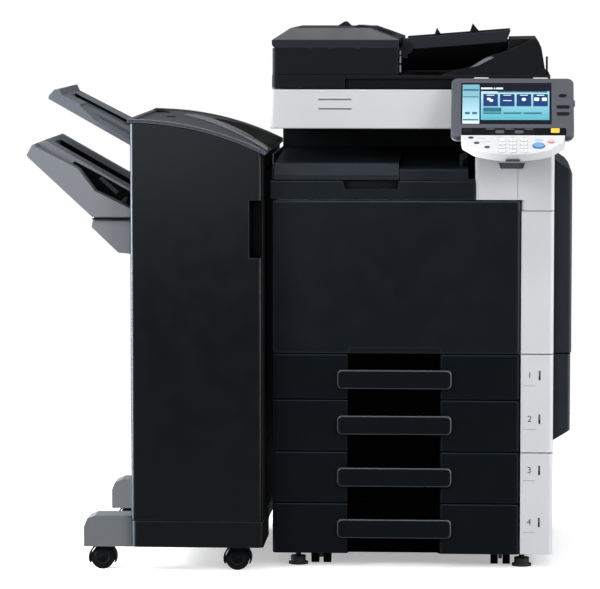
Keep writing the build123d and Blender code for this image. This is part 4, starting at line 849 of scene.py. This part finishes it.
def draw_top_recess(mesh):
    """Painted shade: dark patches between and behind the bands, where the recesses are."""
    add_arched_patch(mesh, -215, TOP_X[1] - 1.5, lambda t: FACE_Y + 440 - 300 * t**1.1,
                     lambda t: FACE_Y + 470 + 62 * min(1, 3 * t), -0.5, 0.8)
    add_arched_patch(mesh, -255, -125, lambda t: FACE_Y + 345 - 185 * t,
                     lambda t: FACE_Y + 372 - 195 * t + 40 * sin(pi * t), -0.5, 1.0)


def draw_top_well(mesh):
    """Small dark patch near the top's left end, as painted shade of a well."""
    add_arched_patch(mesh, -304, -286, lambda t: FACE_Y + 225, lambda t: FACE_Y + 268, -0.5, 0.7)


def draw_top_stop(mesh):
    """Raised block at the top's left end, towards the rear."""
    add_prism(mesh, place((0, FACE_Y + 440, 0), 90),
              [(-356, 952), (-356, 964), (-351, 967), (-330, 966), (-318, 958.5), (-318, 952)], -45, 0)


def draw_door_seal(mesh):
    """Dark strips that close the seams over and under the door."""
    (x0, x1), (y0, _), (z0, _) = span("finisher_door")
    add_box(mesh, ROW, x0 + 2, x1 - 12, y0 + 2.5, y0 + 6.3, z0 - 2, z0 + 0.3)
    add_arched_patch(mesh, TOP_X[0] + 24, TOP_X[1] - 10, lambda t: y0 + 3, lambda t: y0 + 22,
                     -4.9, -3.3)


piece("finisher_top_ribbon", "root", "ribbon", draw_top_ribbon, bevel=0.8)
piece("finisher_top_recess", "root", "void", draw_top_recess)
piece("finisher_top_well", "root", "void", draw_top_well)
piece("finisher_top_stop", "root", "slate", draw_top_stop, bevel=1.5)
piece("finisher_door_seal", "finisher_door", "rubber", draw_door_seal)

# ------------------------------------------------------------------ document feeder
LID_Y = span("adf_lid")[1]
FEED_X1 = span("adf_feed_cover")[0][1]


def draw_backing_plate(mesh):
    """White plate under the lid that presses originals on the glass."""
    z = span("adf_lid")[2][0] + 6
    x0, x1 = span("platen_glass")[0]
    y0, y1 = span("platen_glass")[1]
    add_prism(mesh, ROW, oblong(24, x1 + 6, y0 - 4, y1 + 4, 4), z - 5.2, z + 0.1)


def draw_stop_face(mesh):
    """Light sheet stop in front of the sloping rim of the document output."""
    add_prism(mesh, place((0, LID_Y[0] + 3, 0), 90),
              [(361, 1070.2), (378, 1074), (412, 1092), (404, 1094), (391, 1089)], -0.2, 1.2)


def draw_edge_highlight_strip(mesh):
    """Painted highlight: light strips on the feeder's edge, beside the document output."""
    front = place((0, LID_Y[0] + 6, 0), 90)
    for z0, z1 in ((1060, 1076), (1079, 1094), (1097, 1106)):
        add_prism(mesh, front, oblong(FEED_X1 + 2, FEED_X1 + 5.5, z0, z1, 1.2), -3, 3)


ROLLERS = ((120, 1112, 14), (60, 1108, 16), (12, 1104, 14))  # X, Z and radius
ROLLER_Y = (LID_Y[0] + LID_Y[1]) / 2 - 30
ROLLER_LENGTH = 30
SHAFT_HALF = 190


def add_rod(mesh, where, radius, z0, z1, steps):
    """A plain cylinder along the local Z axis."""
    add_turned(mesh, where, [(0, z0), (radius, z0), (radius, z1), (0, z1)], steps)


def draw_feed_rollers(mesh):
    """Pick-up and separation rollers under the feed cover, two on each shaft."""
    for x, z, radius in ROLLERS:
        for near in (-34, 4):
            add_rod(mesh, place((x, ROLLER_Y, z), 90), radius, near, near + ROLLER_LENGTH, 28)


def draw_roller_shafts(mesh):
    """The rollers' shafts."""
    for x, z, _ in ROLLERS:
        add_rod(mesh, place((x, ROLLER_Y, z), 90), 4, -SHAFT_HALF, SHAFT_HALF, 16)


def draw_feeder_seam(mesh):
    """Dark seam between the feeder's block and the lid's base."""
    x0 = span("adf_lid")[0][0]
    base_top = span("adf_lid")[2][0] + 27
    add_box(mesh, place((0, LID_Y[0] + 1, 0), 90), x0 + 12, FEED_X1, base_top, base_top + 1.6, -1, 0.5)


piece("adf_base_seam", "adf_lid", "void", draw_feeder_seam)
piece("lid_backing_plate", "adf_lid", "foam_white", draw_backing_plate, bevel=0.8)
piece("adf_stop_face", "adf_lid", "leg_grey", draw_stop_face, bevel=0.4)
piece("adf_edge_highlight_strip", "adf_lid", "leg_grey", draw_edge_highlight_strip, bevel=0.4)
piece("adf_feed_rollers", "adf_lid", "rubber", draw_feed_rollers, bevel=0.8)
piece("adf_roller_shafts", "adf_lid", "steel", draw_roller_shafts)

# ------------------------------------------------------------------ rear
SCREW_INSET = 14  # from the covers' side edges
INLET = (430, 120)  # X and Z of the plug inlet's middle


def add_screw(mesh, x, y, z):
    """A flat screw head that faces the rear, with a recess in it."""
    head = place((x, y, z), -90)
    profile = [(0, -0.4), (4, -0.4), (4, 0.2), (3.4, 0.4), (1.6, 0.4), (1.2, 0.1), (0, 0.1)]
    add_turned(mesh, head, profile, 20)


def draw_screws(mesh):
    """Screws round both rear covers."""
    x0, x1 = span("rear_cover")[0]
    for x in (x0 + SCREW_INSET, (x0 + x1) / 2, x1 - SCREW_INSET):
        for z in (60, 300, 560, 860):
            add_screw(mesh, x, REAR_Y, z)
    (x0, x1), (_, y), _ = span("finisher_rear_cover")
    for x in (x0 + SCREW_INSET, x1 - SCREW_INSET):
        for z in (150, 500, 880):
            add_screw(mesh, x, y, z)


def draw_inlet_pins(mesh):
    """Three pins in the plug inlet."""
    for dx, dz in ((-7, -2), (0, 3), (7, -2)):
        pin = place((INLET[0] + dx, REAR_Y, INLET[1] + dz), -90)
        add_prism(mesh, pin, oblong(-1, 1, -2.5, 2.5, 0.4), -4.2, -0.6)


piece("cover_screws", "root", "dark_steel", draw_screws)
piece("inlet_pins", "root", "steel", draw_inlet_pins)

# ------------------------------------------------------------------ wheels
WHEEL_HALF = 14.5  # from a caster's middle to its wheels' outer faces


def draw_hubs(mesh, centre):
    """Hub caps on both outer faces of a pair of wheels."""
    heights = [(0, 0.6), (5, 0.6), (6, 0.2), (13, 0.2), (14, 1.0), (16.5, 1.0), (17.5, 0), (17.5, -0.5),
               (0, -0.5)]  # radius, and height on the wheel's face
    profile = [(radius, WHEEL_HALF + height) for radius, height in heights]
    for turn in (90, -90):
        add_turned(mesh, place(centre, turn), profile)


for wheels in ("front_left", "front_right", "rear_left", "rear_right"):
    centre = middle(wheels + "_caster_wheels")
    piece(wheels + "_hub_caps", wheels + "_caster_wheels", "black",
          lambda mesh: draw_hubs(mesh, centre))

# ------------------------------------------------------------------ stage
def area_light(name, place_at, target, size, power, tint=(1, 1, 1)):
    """A soft box aimed at a point, with places and sizes in metres and power in watts."""
    lamp = bpy.data.lights.new(name, "AREA")
    lamp.shape = "RECTANGLE"
    lamp.size, lamp.size_y = size
    lamp.energy = power
    lamp.color = tint
    holder = bpy.data.objects.new(name, lamp)
    scene.collection.objects.link(holder)
    holder.location = place_at
    holder.rotation_euler = (Vector(target) - Vector(place_at)).to_track_quat("-Z", "Y").to_euler()


FLOOR_HALF = 4  # half the floor's side, in metres
FLOOR_EDGE = (1.3, 3.4)  # where the floor starts and ends to fade into the white, in metres
floor_mesh = bpy.data.meshes.new("studio_floor")
corners = [(x * FLOOR_HALF, y * FLOOR_HALF, 0) for x, y in ((-1, -1), (1, -1), (1, 1), (-1, 1))]
floor_mesh.from_pydata(corners, [], [(0, 1, 2, 3)])
floor = bpy.data.objects.new("studio_floor", floor_mesh)
scene.collection.objects.link(floor)
floor_material, floor_tree, floor_shader = new_material("pale_floor")
floor_tone = mix(floor_tree, ramp(floor_tree, noise(floor_tree, 3.0, 3.0), 0, 1),
                 (0.86, 0.86, 0.865), (0.88, 0.88, 0.885))
# the floor lights itself for the eye only, and sends little light up on the machine
eye = node(floor_tree, "ShaderNodeLightPath")
floor_tree.links.new(mix(floor_tree, eye.outputs["Is Camera Ray"], (0.18, 0.18, 0.18), floor_tone),
                     floor_shader.inputs["Base Color"])
floor_tree.links.new(ramp(floor_tree, eye.outputs["Is Camera Ray"], 0, 0.4, 0, 1),
                     floor_shader.inputs["Emission Strength"])
floor_shader.inputs["Roughness"].default_value = 0.8
floor_shader.inputs["Emission Color"].default_value = (1, 1, 1, 1)
where = node(floor_tree, "ShaderNodeTexCoord")
reach = node(floor_tree, "ShaderNodeVectorMath", operation="LENGTH")
floor_tree.links.new(where.outputs["Object"], reach.inputs[0])
floor_tree.links.new(ramp(floor_tree, reach.outputs["Value"], 1, 0, *FLOOR_EDGE),
                     floor_shader.inputs["Alpha"])
floor_mesh.materials.append(floor_material)

world = bpy.data.worlds.new("studio")
scene.world = world
world.use_nodes = True
sky = world.node_tree
ground = sky.nodes["Background"]
ground.inputs["Color"].default_value = (0.97, 0.98, 1.0, 1)
ground.inputs["Strength"].default_value = 0.10
seen = sky.nodes.new("ShaderNodeBackground")
seen.inputs["Color"].default_value = (1, 1, 1, 1)
rays = sky.nodes.new("ShaderNodeLightPath")
either = sky.nodes.new("ShaderNodeMixShader")
sky.links.new(rays.outputs["Is Camera Ray"], either.inputs[0])
sky.links.new(ground.outputs[0], either.inputs[1])
sky.links.new(seen.outputs[0], either.inputs[2])
sky.links.new(either.outputs[0], sky.nodes["World Output"].inputs["Surface"])

area_light("key_light", (-2.6, -3.6, 2.6), (0, 0, 0.6), (1.8, 1.8), 110)
area_light("left_strip", (-2.5, -0.25, 0.8), (-0.35, -0.3, 0.6), (0.9, 2.0), 170)
area_light("right_strip", (2.6, -0.4, 0.9), (0.4, -0.3, 0.6), (0.5, 2.0), 45)
area_light("right_fill", (2.6, -3.8, 1.9), (0.2, 0, 0.7), (1.8, 1.8), 92)
area_light("front_fill", (0.3, -5.5, 2.4), (0.2, 0, 0.8), (1.6, 1.0), 34)
# a card that shows as a soft sheen on the upper part of the dark doors
area_light("door_card", (-0.68, -2.0, 0.98), (-0.3, FACE_Y * MM, 0.98), (1.1, 0.5), 4.6,
           (0.88, 0.95, 1.0))
area_light("top_light", (0.0, 1.3, 3.4), (0, 0.1, 0.9), (3.0, 1.4), 62)
area_light("floor_light", (0.0, -2.4, 3.6), (0, -1.0, 0), (3.0, 1.0), 40)
area_light("rear_light", (-2.4, 3.4, 2.0), (0, 0, 0.6), (1.8, 1.8), 80)

camera_data = bpy.data.cameras.new("camera")
camera_data.sensor_width = 36
camera_data.lens = 216
camera_data.clip_end = 200
camera = bpy.data.objects.new("camera", camera_data)
scene.collection.objects.link(camera)
camera.location = (0.424, FACE_Y * MM - 7.632, 1.256)
camera.rotation_euler = (radians(85), 0, radians(3.17))
scene.camera = camera
scene.view_settings.view_transform = "Standard"
scene.view_settings.gamma = 0.92
